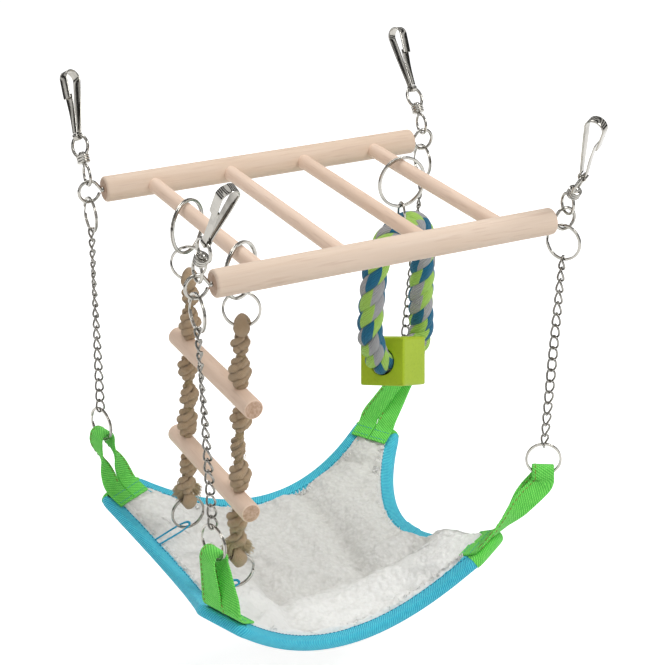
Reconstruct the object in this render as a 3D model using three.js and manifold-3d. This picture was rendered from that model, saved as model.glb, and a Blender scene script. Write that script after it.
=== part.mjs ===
// Small animal hammock bridge: a wooden ladder that hangs level on four swivel snap hooks,
// a fleece hammock slung below it on four chains, a rope ladder between the two and a chew toy.
// Millimetres and degrees. +X runs along the rails, +Y to the back, +Z up.
// The origin is the level where the four hooks bear, above the middle of the bridge.
import * as THREE from "three";
import { mergeVertices } from "three/addons/utils/BufferGeometryUtils.js";
import Module from "manifold-3d";

const wasm = await Module();
wasm.setup();

// Clearances
const fitClearance = 0.3; // between two pieces that touch or sit in one another
const hangClearance = 0.4; // between a ring, link or loop and the wire it hangs on
const coilGap = 0.45; // between the two turns of a split ring
const knotClearance = 0.7; // between a knot and the rim of the dowel hole it stops
const foldClearance = 0.9; // between a webbing fold and the ring inside it

// Wooden bridge
const railLength = 190;
const railDiameter = 14;
const railSpacing = 150; // between the rails' centre lines
const railEndRound = 1.5;
const rungDiameter = 8;
const rungInset = 27.5; // rail end to the first rung
const rungCount = 4;
const rungPitch = (railLength - 2 * rungInset) / (rungCount - 1);
const socketDepth = 7;

// Screw eyes
const eyeDiameter = 13.4; // outside
const eyeWire = 1.8;
const eyeReach = 8.2; // rail end to the eye's centre
const shankDiameter = 2.2;
const shankDepth = 11;

// Swivel snap hooks
const hookLean = 33; // rest lean of a hook, outwards
const loopWire = 1.6;
const loopWidth = 12.2; // outside
const loopHeight = 11.2; // between the centres of the bottom and top bends
const pinDiameter = 2.2;
const rivetDiameter = 4;
const rivetHeight = 1.5;
const barrelDiameter = 7.4;
const barrelHeight = 4.8;
const barrelGroove = 0.5; // depth of the two grooves
const bailWire = 1.8;
const bailWidth = 13.4; // outside
const bailHeight = 11.6; // between the centres of the bottom and top bends
const hookThickness = 0.9;
const hookWidth = 5.4; // of the strip at the top
const curlWidth = 3.4; // of the strip at the curl
const curlStart = 20; // degrees, where the curl begins on the gate's side
const curlSweep = 250; // degrees, how far the curl goes round the bail
const hookSpan = 10.6; // outside, across the rounded top
const hookRise = 32.5; // curl centre to the centre of the rounded top
const noseLength = 11.5;
const noseReach = 3.9; // hook's middle line to the nose's tip
const gateThickness = 0.6;
const gateLap = 2.2; // of the gate's tip behind the nose

// Split rings
const smallRing = { diameter: 20, width: 0.65, depth: 1.3 };
const largeRing = { diameter: 30, width: 0.8, depth: 1.6 };
const ringStep = 30; // degrees between two points of a coil
const ringTrim = 30; // degrees left off at each end of a coil
const ringCross = 24; // degrees, half of the crossing from one turn to the other

// Chains
const chainLinks = 17;
const linkPitch = 6.5;
const linkWire = 1;
const linkWidth = 5.4; // outside
const linkFuse = 0.15; // overlap that joins two links into one body
const chainTwist = 180; // degrees that a chain turns on its way down, beyond what its rings ask for

// Hammock
const padThickness = 7;
const rimThickness = 3; // of the pad inside the binding
const bindingWidth = 8;
const bindingThickness = 0.9;
const strapWidth = 12;
const strapThickness = 1.2;
const strapLap = 12; // of a webbing end over the pad
const strapSpread = 6.2; // a corner's middle to the middle of a webbing leg
const strapRun = 2.2; // of a webbing leg past the hammock's edge, outwards and upwards
const foldRadius = 3.6; // inside a webbing fold
const cornerDrop = 42; // lower ring's centre to a hammock corner
const cornerCut = 28; // length of a cut-off corner
const cutTurn = -15; // degrees, of a cut-off corner from the diagonal
const frontDip = 4; // of the front end of a front corner
const padLeft = 98; // middle of the bridge to the left corners
const padRightFront = 63; // to the right corner at the front
const padRightBack = 74;
const padFront = 80;
const padBack = 71;
const padSag = 38; // of the pad's middle below its corners
const sideSegments = 10;

// Rope ladder
const ladderSpacing = 69; // between the two ropes
const ladderOffset = -11; // of the ladder's middle from the bridge's, along Y
const ropeDiameter = 4.8;
const knotDiameter = 11;
const dowelDiameter = 10.7;
const dowelLength = 102;
const dowelHole = 6.8;
const dowelDrops = [78, 137]; // rung centre to each dowel's centre
const tieInset = 21; // hammock's left edge to the rope's lower end, along X
const tieReach = 20; // hammock's left edge to a tie ring's centre, along Z
const threadDiameter = 1.2;
const threadSpread = 3; // half the gap between a tie thread's two ends

// Chew toy
const toyPlace = 35; // bridge's middle to the toy, along Y
const toyTurn = 31.5; // of the toy about Z
const linkRoundWire = 1.4;
const linkRoundWidth = 9;
const toyRopeDiameter = 15;
const toyRopeBelow = 4.5; // toy ring to the rope's top
const blockSize = 28.5;
const blockDrop = 85; // rope's top centre to the block's centre
const loopHalf = 29.5; // half the gap between the rope's two sides
const blockTilt = 20; // of the block's bore, its front end up
const blockRoll = -12; // of the block about its bore
const blockDrift = 4; // of the block from under its ring, across the loop's plane

// Middle of one side of the hammock: how far it is drawn in, and how far it hangs down
const sides = {
  front: { inset: 11, sag: 33 },
  right: { inset: 27, sag: 22 },
  back: { inset: 19, sag: 24 },
  left: { inset: 13, sag: 18 },
};

// Each corner: its signs, the yaw of its two rings, its hook's spin and tilt,
// and how far its chain's lower end is drawn aside along X
const corners = [
  { name: "front_left", x: -1, y: -1, upperYaw: 0, lowerYaw: 15, spin: 190, tilt: -7, pull: 4.5 },
  { name: "front_right", x: 1, y: -1, upperYaw: 30, lowerYaw: 60, spin: 303, tilt: -11, pull: -5 },
  { name: "back_right", x: 1, y: 1, upperYaw: 0, lowerYaw: 15, spin: 288, tilt: -1, pull: -10 },
  { name: "back_left", x: -1, y: 1, upperYaw: 0, lowerYaw: 15, spin: 208, tilt: -8, pull: -1 },
];

const finishes = {
  beech: { color: 0xe2cbb5, roughness: 0.6, metalness: 0 },
  nickel: { color: 0xb9bcc0, roughness: 0.28, metalness: 1 },
  fleece: { color: 0xe9e8e4, roughness: 1, metalness: 0 },
  binding: { color: 0x2db2d4, roughness: 0.85, metalness: 0 },
  webbing: { color: 0x55cd46, roughness: 0.85, metalness: 0 },
  jute: { color: 0xa08c68, roughness: 0.95, metalness: 0 },
  rope: { color: 0x2b7fa6, roughness: 0.9, metalness: 0 },
  block: { color: 0xa3bf32, roughness: 0.55, metalness: 0 },
};

const sideways = new THREE.Vector3(1, 0, 0);
const backward = new THREE.Vector3(0, 1, 0);
const upright = new THREE.Vector3(0, 0, 1);
const half = 0.5;

/** Joint centres and axes by name. */
export const pivots = {};

const root = new THREE.Group();
root.name = "small_animal_hammock_bridge";
const bridge = new THREE.Group();
root.add(bridge);

function vec(x, y, z) {
  return new THREE.Vector3(x, y, z);
}

function rad(degrees) {
  return THREE.MathUtils.degToRad(degrees);
}

/** Horizontal direction at an angle from +X towards +Y. */
function heading(degrees) {
  return vec(Math.cos(rad(degrees)), Math.sin(rad(degrees)), 0);
}

/** Adds one named piece with a material of its own. */
function place(name, geometry, finish, parent = bridge) {
  const mesh = new THREE.Mesh(geometry, new THREE.MeshStandardMaterial(finishes[finish]));
  mesh.name = name;
  parent.add(mesh);
  return mesh;
}

/** Notes a joint's centre and axis, measured from the part's origin. */
function pivot(name, parent, at, axis) {
  parent.updateWorldMatrix(true, false);
  pivots[name] = {
    at: parent.localToWorld(at.clone()).toArray(),
    axis: axis.clone().transformDirection(parent.matrixWorld).toArray(),
  };
}

/** An indexed geometry whose faces all point outwards. */
function facingOut(points, faces) {
  let volume = 0;
  for (let i = 0; i < faces.length; i += 3) {
    const cross = points[faces[i + 1]].clone().cross(points[faces[i + 2]]);
    volume += points[faces[i]].dot(cross);
  }
  const order = volume < 0 ? faces.slice().reverse() : faces;
  const geometry = new THREE.BufferGeometry().setFromPoints(points);
  geometry.setIndex(order);
  return geometry;
}

/** A closed surface over rings of points, with the ends joined to each other or capped. */
function skin(rings, closed) {
  const count = rings[0].length;
  const points = rings.flat();
  const faces = [];
  const spans = closed ? rings.length : rings.length - 1;
  for (let i = 0; i < spans; i += 1) {
    const near = i * count;
    const far = ((i + 1) % rings.length) * count;
    for (let j = 0; j < count; j += 1) {
      const next = (j + 1) % count;
      faces.push(near + j, far + j, far + next);
      faces.push(near + j, far + next, near + next);
    }
  }
  if (!closed) {
    const last = (rings.length - 1) * count;
    const ends = [rings[0], rings[rings.length - 1]];
    const hubs = ends.map((ring) => {
      const sum = ring.reduce((total, point) => total.add(point), vec(0, 0, 0));
      return points.push(sum.divideScalar(count)) - 1;
    });
    for (let j = 0; j < count; j += 1) {
      const next = (j + 1) % count;
      faces.push(hubs[0], j, next);
      faces.push(hubs[1], last + next, last + j);
    }
  }
  return facingOut(points, faces);
}

/** Direction of travel at each point of a path. */
function tangents(points, closed) {
  const count = points.length;
  return points.map((point, i) => {
    const before = closed ? points[(i + count - 1) % count] : points[Math.max(i - 1, 0)];
    const after = closed ? points[(i + 1) % count] : points[Math.min(i + 1, count - 1)];
    return after.clone().sub(before).normalize();
  });
}

/** A round wire along a path, its section carried along without turning. */
function wire(points, diameter, edges, closed) {
  const along = tangents(points, closed);
  const start = Math.abs(along[0].z) < 0.9 ? upright : vec(1, 0, 0);
  const normals = [start.clone().cross(along[0]).normalize()];
  const turn = new THREE.Quaternion();
  for (let i = 1; i < points.length; i += 1) {
    turn.setFromUnitVectors(along[i - 1], along[i]);
    normals.push(normals[i - 1].clone().applyQuaternion(turn));
  }
  let spare = 0;
  if (closed) {
    turn.setFromUnitVectors(along[points.length - 1], along[0]);
    const back = normals[points.length - 1].clone().applyQuaternion(turn);
    spare = Math.atan2(back.clone().cross(normals[0]).dot(along[0]), back.dot(normals[0]));
  }
  const rings = points.map((point, i) => {
    const share = (spare * i) / points.length;
    return Array.from({ length: edges }, (unused, j) => {
      const angle = share + (2 * Math.PI * j) / edges;
      const out = normals[i].clone().applyAxisAngle(along[i], angle);
      return point.clone().addScaledVector(out, diameter / 2);
    });
  });
  return skin(rings, closed);
}

/** A flat strip: each station has a place, and half-width and half-thickness vectors. */
function strip(stations) {
  const rings = stations.map(({ at, across, through }) => [
    at.clone().add(across).add(through),
    at.clone().sub(across).add(through),
    at.clone().sub(across).sub(through),
    at.clone().add(across).sub(through),
  ]);
  return skin(rings, false);
}

/** A body turned about Z from [radius, height] pairs that start and end on the axis. */
function turned(profile, segments) {
  const points = profile.map(([radius, height]) => new THREE.Vector2(radius, height));
  const geometry = new THREE.LatheGeometry(points, segments);
  return geometry.rotateX(Math.PI / 2);
}

/** A plain round bar along Z, centred on the origin. */
function bar(diameter, length, segments) {
  const geometry = new THREE.CylinderGeometry(diameter / 2, diameter / 2, length, segments);
  return geometry.rotateX(Math.PI / 2);
}

/** A solid that can be joined to another or cut by it. */
function solid(geometry) {
  const bare = geometry.clone();
  bare.deleteAttribute("normal");
  bare.deleteAttribute("uv");
  const merged = mergeVertices(bare, 1e-4);
  return new wasm.Manifold(
    new wasm.Mesh({
      numProp: 3,
      vertProperties: new Float32Array(merged.attributes.position.array),
      triVerts: new Uint32Array(merged.index.array),
    }),
  );
}

/** The geometry of a joined or cut solid. */
function shape(body) {
  const mesh = body.getMesh();
  const geometry = new THREE.BufferGeometry();
  geometry.setAttribute("position", new THREE.BufferAttribute(mesh.vertProperties, 3));
  geometry.setIndex(new THREE.BufferAttribute(mesh.triVerts, 1));
  return geometry;
}

/** One solid joined from several geometries. */
function joined(geometries) {
  return geometries.map(solid).reduce((whole, piece) => whole.add(piece));
}

/** Least distance between the two turns of a coil, taken on the points of its rings. */
function leastTurnGap(rings) {
  const halfTurn = 180 / ringStep;
  let least = Infinity;
  for (let i = 0; i < rings.length; i += 1) {
    for (let j = i + halfTurn; j < rings.length; j += 1) {
      for (const a of rings[i]) {
        for (const b of rings[j]) {
          least = Math.min(least, a.distanceTo(b));
        }
      }
    }
  }
  return least;
}

/** A split ring: two turns of flat wire as one unbroken strip, its axis along X at no yaw. */
function splitRing(name, size, centre, yaw) {
  const radius = size.diameter / 2 - size.depth / 2;
  const pitch = size.width + coilGap;
  const axis = heading(yaw);
  const flat = heading(yaw + 90);
  const rings = [];
  for (let angle = ringTrim; angle <= 720 - ringTrim; angle += ringStep) {
    const cross = THREE.MathUtils.smoothstep(angle, 360 - ringCross, 360 + ringCross);
    const out = flat.clone().multiplyScalar(Math.cos(rad(angle)));
    out.addScaledVector(upright, Math.sin(rad(angle)));
    const at = centre.clone().addScaledVector(axis, (cross - half) * pitch);
    at.addScaledVector(out, radius);
    const width = axis.clone().multiplyScalar(size.width / 2);
    const depth = out.multiplyScalar(size.depth / 2);
    rings.push([
      at.clone().add(width).add(depth),
      at.clone().sub(width).add(depth),
      at.clone().sub(width).sub(depth),
      at.clone().add(width).sub(depth),
    ]);
  }
  console.log(`${name}: least gap between turns ${leastTurnGap(rings).toFixed(2)} mm`);
  return place(name, skin(rings, false), "nickel");
}

/** Inner radius of a split ring. */
function innerRadius(size) {
  return size.diameter / 2 - size.depth;
}

/** Radius that a split ring leaves free all round, between the points of its coil too. */
function clearRadius(size) {
  return innerRadius(size) * Math.cos(rad(ringStep / 2));
}

/** Radius of the middle of a split ring's wire. */
function wireRadius(size) {
  return size.diameter / 2 - size.depth / 2;
}

/** Points round an oval in the plane of two directions. */
function oval(centre, first, second, a, b, count) {
  return Array.from({ length: count }, (unused, i) => {
    const angle = (2 * Math.PI * i) / count;
    const point = centre.clone().addScaledVector(first, a * Math.cos(angle));
    return point.addScaledVector(second, b * Math.sin(angle));
  });
}

// Levels that the sub-assemblies share, from the rails' centre plane
const railY = railSpacing / 2;
const eyeX = railLength / 2 + eyeReach;
const eyeRadius = (eyeDiameter - eyeWire) / 2;
const firstRungX = (-rungPitch * (rungCount - 1)) / 2;
const lastRungX = -firstRungX;
const smallInner = innerRadius(smallRing);
const smallMiddle = wireRadius(smallRing);
const largeMiddle = wireRadius(largeRing);
const upperRingZ = -eyeRadius + eyeWire / 2 + hangClearance - smallInner;
const chainTopZ = upperRingZ - smallInner + hangClearance + linkWire / 2;
const linkLength = linkPitch + linkWire - linkFuse; // between the centres of its two bends
const chainBottomZ = chainTopZ - (chainLinks - 1) * linkPitch - linkLength;
const lowerRingZ = chainBottomZ + linkWire / 2 + hangClearance - smallInner;
const cornerZ = lowerRingZ - cornerDrop;

/** Rails with rung sockets and pilot holes, rungs and screw eyes. */
function buildBridge() {
  const radius = railDiameter / 2;
  const end = railLength / 2;
  const profile = [
    [0, -end],
    [radius - railEndRound, -end],
    [radius, -end + railEndRound],
    [radius, end - railEndRound],
    [radius - railEndRound, end],
    [0, end],
  ];
  const rungHalf = railY - radius + socketDepth - fitClearance;
  const pilotDepth = shankDepth + fitClearance;
  for (const [name, side] of [
    ["front_rail", -1],
    ["back_rail", 1],
  ]) {
    let rail = solid(turned(profile, 20).rotateY(Math.PI / 2));
    for (let i = 0; i < rungCount; i += 1) {
      const socket = bar(rungDiameter + 2 * fitClearance, 2 * socketDepth, 16);
      socket.rotateX(Math.PI / 2);
      socket.translate(firstRungX + i * rungPitch, -side * radius, 0);
      rail = rail.subtract(solid(socket));
    }
    for (const x of [-1, 1]) {
      const pilot = bar(shankDiameter + 2 * fitClearance, 2 * pilotDepth, 8);
      pilot.rotateY(Math.PI / 2);
      pilot.translate(x * end, 0, 0);
      rail = rail.subtract(solid(pilot));
    }
    const mesh = place(name, shape(rail), "beech");
    mesh.position.y = side * railY;
  }
  for (let i = 0; i < rungCount; i += 1) {
    const rung = bar(rungDiameter, 2 * rungHalf, 16);
    rung.rotateX(Math.PI / 2);
    rung.translate(firstRungX + i * rungPitch, 0, 0);
    place(`rung_${i + 1}`, rung, "beech");
  }
  for (const corner of corners) {
    const ring = oval(vec(0, 0, 0), vec(1, 0, 0), upright, eyeRadius, eyeRadius, 14);
    const shankLength = eyeReach + shankDepth - eyeRadius;
    const shank = bar(shankDiameter, shankLength, 8);
    shank.rotateY(Math.PI / 2);
    shank.translate(-corner.x * (eyeRadius + shankLength / 2), 0, 0);
    const eye = joined([wire(ring, eyeWire, 6, true), shank]);
    const mesh = place(`screw_eye_${corner.name}`, shape(eye), "nickel");
    mesh.position.set(corner.x * eyeX, corner.y * railY, 0);
  }
}

// Heights along a swivel hook, from the middle of the eye's top wire
const loopBottom = -(eyeWire / 2 + hangClearance + loopWire / 2);
const loopTop = loopBottom + loopHeight;
const barrelBottom = loopTop + loopWire / 2 + fitClearance;
const barrelTop = barrelBottom + barrelHeight;
const rivetBottom = barrelTop + fitClearance;
const bailBottom = barrelTop - bailWire / 2;
const bailTop = bailBottom + bailHeight;
const curlRadius = bailWire / 2 + hangClearance + fitClearance + hookThickness / 2;
const hookTopRadius = (hookSpan - hookThickness) / 2;
const hookBearing = bailTop + hookRise + hookTopRadius - hookThickness / 2;
const hangHeight = eyeRadius + hookBearing * Math.cos(rad(hookLean));

/** Middle line of the hook's strip in its own plane, from the curl to the nose. */
function hookPath() {
  const path = [];
  for (let step = 0; step <= 10; step += 1) {
    const angle = rad(curlStart - (curlSweep * step) / 10);
    path.push([curlRadius * Math.cos(angle), curlRadius * Math.sin(angle)]);
  }
  for (let angle = 180; angle >= 0; angle -= 30) {
    const x = hookTopRadius * Math.cos(rad(angle));
    path.push([x, hookRise + hookTopRadius * Math.sin(rad(angle))]);
  }
  path.push([noseReach, hookRise - noseLength]);
  return path;
}

/** A bent strip in the XZ plane, its width along Y. */
function bentStrip(path, thickness, widthAt) {
  const middle = path.map(([x, z]) => vec(x, 0, z));
  const along = tangents(middle, false);
  return strip(
    middle.map((at, i) => ({
      at,
      across: vec(0, widthAt(at.z) / 2, 0),
      through: vec(along[i].z, 0, -along[i].x).multiplyScalar(thickness / 2),
    })),
  );
}

/** Swivel loop, bail, hook and gate of one corner, on the hook's leaning axis. */
function buildHook(corner) {
  const lean = new THREE.Group();
  lean.position.set(corner.x * eyeX, corner.y * railY, eyeRadius);
  lean.rotation.x = -corner.y * rad(hookLean);
  bridge.add(lean);
  const spun = new THREE.Group();
  spun.rotation.z = rad(corner.spin);
  lean.add(spun);

  const middle = (loopBottom + loopTop) / 2;
  const reach = (loopWidth - loopWire) / 2;
  const ring = oval(vec(0, 0, middle), vec(0, 1, 0), upright, reach, loopHeight / 2, 12);
  const pin = turned(
    [
      [0, loopTop - loopWire / 2],
      [pinDiameter / 2, loopTop - loopWire / 2],
      [pinDiameter / 2, rivetBottom],
      [rivetDiameter / 2, rivetBottom],
      [rivetDiameter / 2, rivetBottom + rivetHeight / 2],
      [pinDiameter / 2, rivetBottom + rivetHeight],
      [0, rivetBottom + rivetHeight],
    ],
    8,
  );
  const loop = joined([wire(ring, loopWire, 6, true), pin]);
  place(`swivel_loop_${corner.name}`, shape(loop), "nickel", lean);

  const outer = barrelDiameter / 2;
  const third = barrelHeight / 3;
  const barrel = turned(
    [
      [0, barrelBottom],
      [outer, barrelBottom],
      [outer - barrelGroove, barrelBottom + third * half],
      [outer, barrelBottom + third],
      [outer, barrelTop - third],
      [outer - barrelGroove, barrelTop - third * half],
      [outer, barrelTop],
      [0, barrelTop],
    ],
    10,
  );
  const bailMiddle = (bailBottom + bailTop) / 2;
  const bailReach = (bailWidth - bailWire) / 2;
  const oblong = oval(vec(0, 0, bailMiddle), vec(0, 1, 0), upright, bailReach, bailHeight / 2, 12);
  const bore = bar(pinDiameter + 2 * fitClearance, barrelHeight + 2 * bailWire, 10);
  bore.translate(0, 0, (barrelBottom + barrelTop) / 2);
  const headRoom = bar(rivetDiameter + 2 * fitClearance, 2 * rivetHeight, 10);
  headRoom.translate(0, 0, barrelTop + rivetHeight);
  const bail = joined([barrel, wire(oblong, bailWire, 6, true)]);
  const bored = bail.subtract(solid(bore)).subtract(solid(headRoom));
  place(`swivel_bail_${corner.name}`, shape(bored), "nickel", spun);

  const widthAt = (z) => curlWidth + (hookWidth - curlWidth) * Math.min(Math.max(z / hookRise, 0), 1);
  const hook = bentStrip(hookPath(), hookThickness, widthAt);
  const tilted = new THREE.Group();
  tilted.position.z = bailTop;
  tilted.rotation.y = rad(corner.tilt);
  spun.add(tilted);
  place(`snap_hook_${corner.name}`, hook, "nickel", tilted);

  const tipX = noseReach - hookThickness / 2 - fitClearance - gateThickness / 2;
  const rootX = curlRadius * Math.cos(rad(curlStart)) - gateThickness / 2;
  const rootZ = curlRadius * Math.sin(rad(curlStart)) + hookThickness / 2 + fitClearance;
  const tipZ = hookRise - noseLength + gateLap;
  const gate = bentStrip(
    [
      [rootX, rootZ],
      [(rootX + tipX) / 2 - gateThickness, (rootZ + tipZ) / 2],
      [tipX - gateThickness / 2, tipZ],
    ],
    gateThickness,
    widthAt,
  );
  place(`hook_gate_${corner.name}`, gate, "nickel", tilted);

  pivot(`hook_swing_${corner.name}`, lean, vec(0, 0, 0), vec(-corner.y, 0, 0));
  pivot(`bail_spin_${corner.name}`, lean, vec(0, 0, 0), upright);
  pivot(`hook_tilt_${corner.name}`, spun, vec(0, 0, bailTop), backward);
  pivot(`gate_flex_${corner.name}`, tilted, vec(rootX, 0, rootZ), vec(0, -1, 0));
}

/** Middle line of one twisted link, its top bend at a yaw and its bottom bend a quarter turn on. */
function linkPath(topZ, yaw) {
  const bottomZ = topZ - linkLength;
  const reach = (linkWidth - linkWire) / 2;
  const bend = reach / 2;
  const shoulder = 0.7 * reach;
  const outline = [
    [bend, topZ],
    [reach, topZ - shoulder],
    [reach, bottomZ + shoulder],
    [bend, bottomZ],
    [-bend, bottomZ],
    [-reach, bottomZ + shoulder],
    [-reach, topZ - shoulder],
    [-bend, topZ],
  ];
  return outline.map(([x, z]) => {
    const turn = yaw + (90 * (topZ - z)) / linkLength;
    return heading(turn).multiplyScalar(x).setZ(z);
  });
}

/** Where a corner's chain hangs on its upper ring and holds its lower ring, and that ring's centre. */
function chainEnds(corner) {
  const top = vec(corner.x * eyeX, corner.y * railY, upperRingZ - smallMiddle);
  const reach = upperRingZ - lowerRingZ - 2 * smallMiddle;
  const drop = Math.sqrt(reach ** 2 - corner.pull ** 2);
  const bottom = top.clone().add(vec(corner.pull, 0, -drop));
  const ring = bottom.clone().addScaledVector(upright, -smallMiddle);
  return { top, bottom, ring };
}

/** Upper ring, chain and lower ring of one corner. */
function buildChain(corner) {
  const { top, bottom, ring } = chainEnds(corner);
  const upperRing = top.clone().setZ(upperRingZ);
  splitRing(`upper_ring_${corner.name}`, smallRing, upperRing, corner.upperYaw);
  const yawSpan = corner.lowerYaw - corner.upperYaw - 90 + chainTwist;
  const linkTurn = yawSpan / (chainLinks - 1);
  const links = [];
  for (let i = 0; i < chainLinks; i += 1) {
    const path = linkPath(chainTopZ - i * linkPitch, corner.upperYaw + i * linkTurn);
    links.push(wire(path, linkWire, 4, true));
  }
  const slung = new THREE.Group();
  slung.position.copy(top);
  slung.quaternion.setFromUnitVectors(vec(0, 0, -1), bottom.clone().sub(top).normalize());
  bridge.add(slung);
  const mesh = place(`chain_${corner.name}`, shape(joined(links)), "nickel", slung);
  mesh.position.z = -top.z;
  splitRing(`lower_ring_${corner.name}`, smallRing, ring, corner.lowerYaw);
  pivot(`ring_swing_${corner.name}`, bridge, top.clone().setZ(-eyeRadius), sideways);
  pivot(`chain_sway_${corner.name}`, bridge, top, backward);
  pivot(`ring_level_${corner.name}`, bridge, bottom, backward);
  pivot(`hammock_level_${corner.name}`, bridge, ring, sideways);
}

// The hammock's outline
const padCentre = vec((padRightBack - padLeft) / 2, (padBack - padFront) / 2, cornerZ - padSag);
const padBend = 1.7; // how fast the pad's slope grows towards its edge
const rimHalf = rimThickness / 2;
const bindingInside = rimHalf + 2 * fitClearance;
const bindingTop = bindingInside + bindingThickness;

/** The two ends of a cut-off corner: on the front or back edge, and on the left or right edge. */
function cornerEnds(corner) {
  const padRight = corner.y < 0 ? padRightFront : padRightBack;
  const x = corner.x < 0 ? -padLeft : padRight;
  const y = corner.y < 0 ? -padFront : padBack;
  const step = vec(-corner.x, corner.y, 0).setLength(cornerCut / 2);
  step.applyAxisAngle(upright, rad(cutTurn));
  const dip = corner.y < 0 ? frontDip : 0;
  return {
    long: vec(x, y, cornerZ - dip).add(step),
    short: vec(x, y, cornerZ).sub(step),
  };
}

/** A point of one hanging side, at a share of the way between its ends. */
function sidePoint(side, from, to, share) {
  const bulge = 4 * share * (1 - share);
  const along = to.clone().sub(from).setZ(0).normalize();
  const inward = upright.clone().cross(along);
  const point = from.clone().lerp(to, share);
  point.addScaledVector(inward, side.inset * bulge);
  point.z -= side.sag * bulge;
  return point;
}

const [frontLeft, frontRight, backRight, backLeft] = corners.map(cornerEnds);

/** Points round the hammock's edge, anticlockwise from above. */
function outlinePoints() {
  const runs = [
    [sides.front, frontLeft.long, frontRight.long, frontRight.short],
    [sides.right, frontRight.short, backRight.short, backRight.long],
    [sides.back, backRight.long, backLeft.long, backLeft.short],
    [sides.left, backLeft.short, frontLeft.short, frontLeft.long],
  ];
  const points = [];
  for (const [side, from, to, next] of runs) {
    for (let i = 0; i <= sideSegments; i += 1) {
      points.push(sidePoint(side, from, to, i / sideSegments));
    }
    points.push(to.clone().lerp(next, half));
  }
  return points;
}

/** Directions at a point of the hammock's edge: out of the edge, and up from the pad. */
function edgeFrame(point, along) {
  const radial = point.clone().sub(padCentre);
  radial.z *= padBend;
  const up = radial.clone().cross(along).normalize();
  if (up.z < 0) {
    up.negate();
  }
  const out = along.clone().cross(up).normalize();
  if (out.dot(radial) < 0) {
    out.negate();
  }
  return { up, out };
}

/** Fleece pad and the binding folded round its edge. */
function buildPad() {
  const edge = outlinePoints();
  const along = tangents(edge, true);
  const frames = edge.map((point, i) => edgeFrame(point, along[i]));
  const rimWidth = bindingWidth + 2 * bindingThickness;
  const rim = edge.map((point, i) => point.clone().addScaledVector(frames[i].out, -rimWidth));
  const shares = [0.2, 0.4, 0.6, 0.78, 0.9];
  const layers = shares.map((share) =>
    rim.map((point) => {
      const inner = padCentre.clone().lerp(point, share);
      inner.z = padCentre.z + (point.z - padCentre.z) * share ** padBend;
      return inner;
    }),
  );
  const tilted = (layer, height) =>
    layer.map((point, i) => point.clone().addScaledVector(frames[i].up, height));
  const raised = (layer, height) =>
    layer.map((point) => point.clone().addScaledVector(upright, height));
  const face = (side) => [
    ...layers.map((layer) => raised(layer, (side * padThickness) / 2)),
    tilted(rim, side * rimHalf),
    tilted(edge, side * rimHalf),
  ];
  place("fleece_pad", skin([...face(-1), ...face(1).reverse()], false), "fleece");

  const outFace = fitClearance + bindingThickness;
  const section = [
    [-bindingWidth, bindingTop],
    [outFace, bindingTop],
    [outFace, -bindingTop],
    [-bindingWidth, -bindingTop],
    [-bindingWidth, -bindingInside],
    [fitClearance, -bindingInside],
    [fitClearance, bindingInside],
    [-bindingWidth, bindingInside],
  ];
  const rings = edge.map((point, i) =>
    section.map(([out, up]) =>
      point.clone().addScaledVector(frames[i].out, out).addScaledVector(frames[i].up, up),
    ),
  );
  place("edge_binding", skin(rings, true), "binding");
}

/** Webbing loop of one corner: over the lower ring, both ends sewn on the pad. */
function buildWebbing(corner, ends) {
  const middle = ends.long.clone().lerp(ends.short, half);
  const cut = ends.long.clone().sub(ends.short).normalize();
  const { up, out } = edgeFrame(middle, cut);
  const apart = heading(corner.lowerYaw);
  const flat = heading(corner.lowerYaw + 90);
  const towards = Math.sign(cut.dot(apart)) || 1;
  const lift = bindingTop + foldClearance + strapThickness / 2;
  const chord = Math.sqrt(clearRadius(smallRing) ** 2 - (strapWidth / 2 + fitClearance) ** 2);
  const foldMiddle = foldRadius + strapThickness / 2;
  const { ring } = chainEnds(corner);
  const foldAt = ring.clone().setZ(ring.z - chord + foldClearance - foldRadius);
  const lowerWidth = cut.clone().multiplyScalar(Math.sign(cut.dot(flat)) || 1);
  const leg = (side) => {
    const foot = middle.clone().addScaledVector(cut, side * towards * strapSpread);
    const clearZ = ring.z - smallRing.diameter / 2 - foldClearance - strapThickness;
    const top = foldAt.clone().addScaledVector(apart, side * foldMiddle);
    const under = top.clone().setZ(clearZ);
    const raised = foot.clone().addScaledVector(up, lift);
    const bend = raised.clone().addScaledVector(out, strapRun).addScaledVector(upright, strapRun);
    return [
      { at: raised.clone().addScaledVector(out, -strapLap), twist: 1 },
      { at: raised.clone().addScaledVector(out, -strapThickness), twist: 1 },
      { at: bend, twist: 1 },
      { at: bend.clone().lerp(under, 0.35), twist: 0.75 },
      { at: bend.clone().lerp(under, 0.7), twist: 0.3 },
      { at: under, twist: 0 },
      { at: top, twist: 0 },
    ];
  };
  const fold = [45, 90, 135].map((angle) => {
    const at = foldAt.clone().addScaledVector(apart, -foldMiddle * Math.cos(rad(angle)));
    return { at: at.addScaledVector(upright, foldMiddle * Math.sin(rad(angle))), twist: 0 };
  });
  const path = [...leg(-1), ...fold, ...leg(1).reverse()];
  const travel = tangents(
    path.map((station) => station.at),
    false,
  );
  const stations = path.map(({ at, twist }, i) => {
    const wide = flat.clone().lerp(lowerWidth, twist);
    wide.addScaledVector(travel[i], -wide.dot(travel[i])).normalize();
    const through = travel[i].clone().cross(wide).multiplyScalar(strapThickness / 2);
    return { at, across: wide.multiplyScalar(strapWidth / 2), through };
  });
  place(`webbing_loop_${corner.name}`, strip(stations), "webbing");
}

/** A short closed eye of cord round a ring's wire. */
function cordEye(centre, first, second, inside) {
  const radius = inside + ropeDiameter / 2;
  return wire(oval(centre, first, second, radius, radius, 10), ropeDiameter, 6, true);
}

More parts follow.
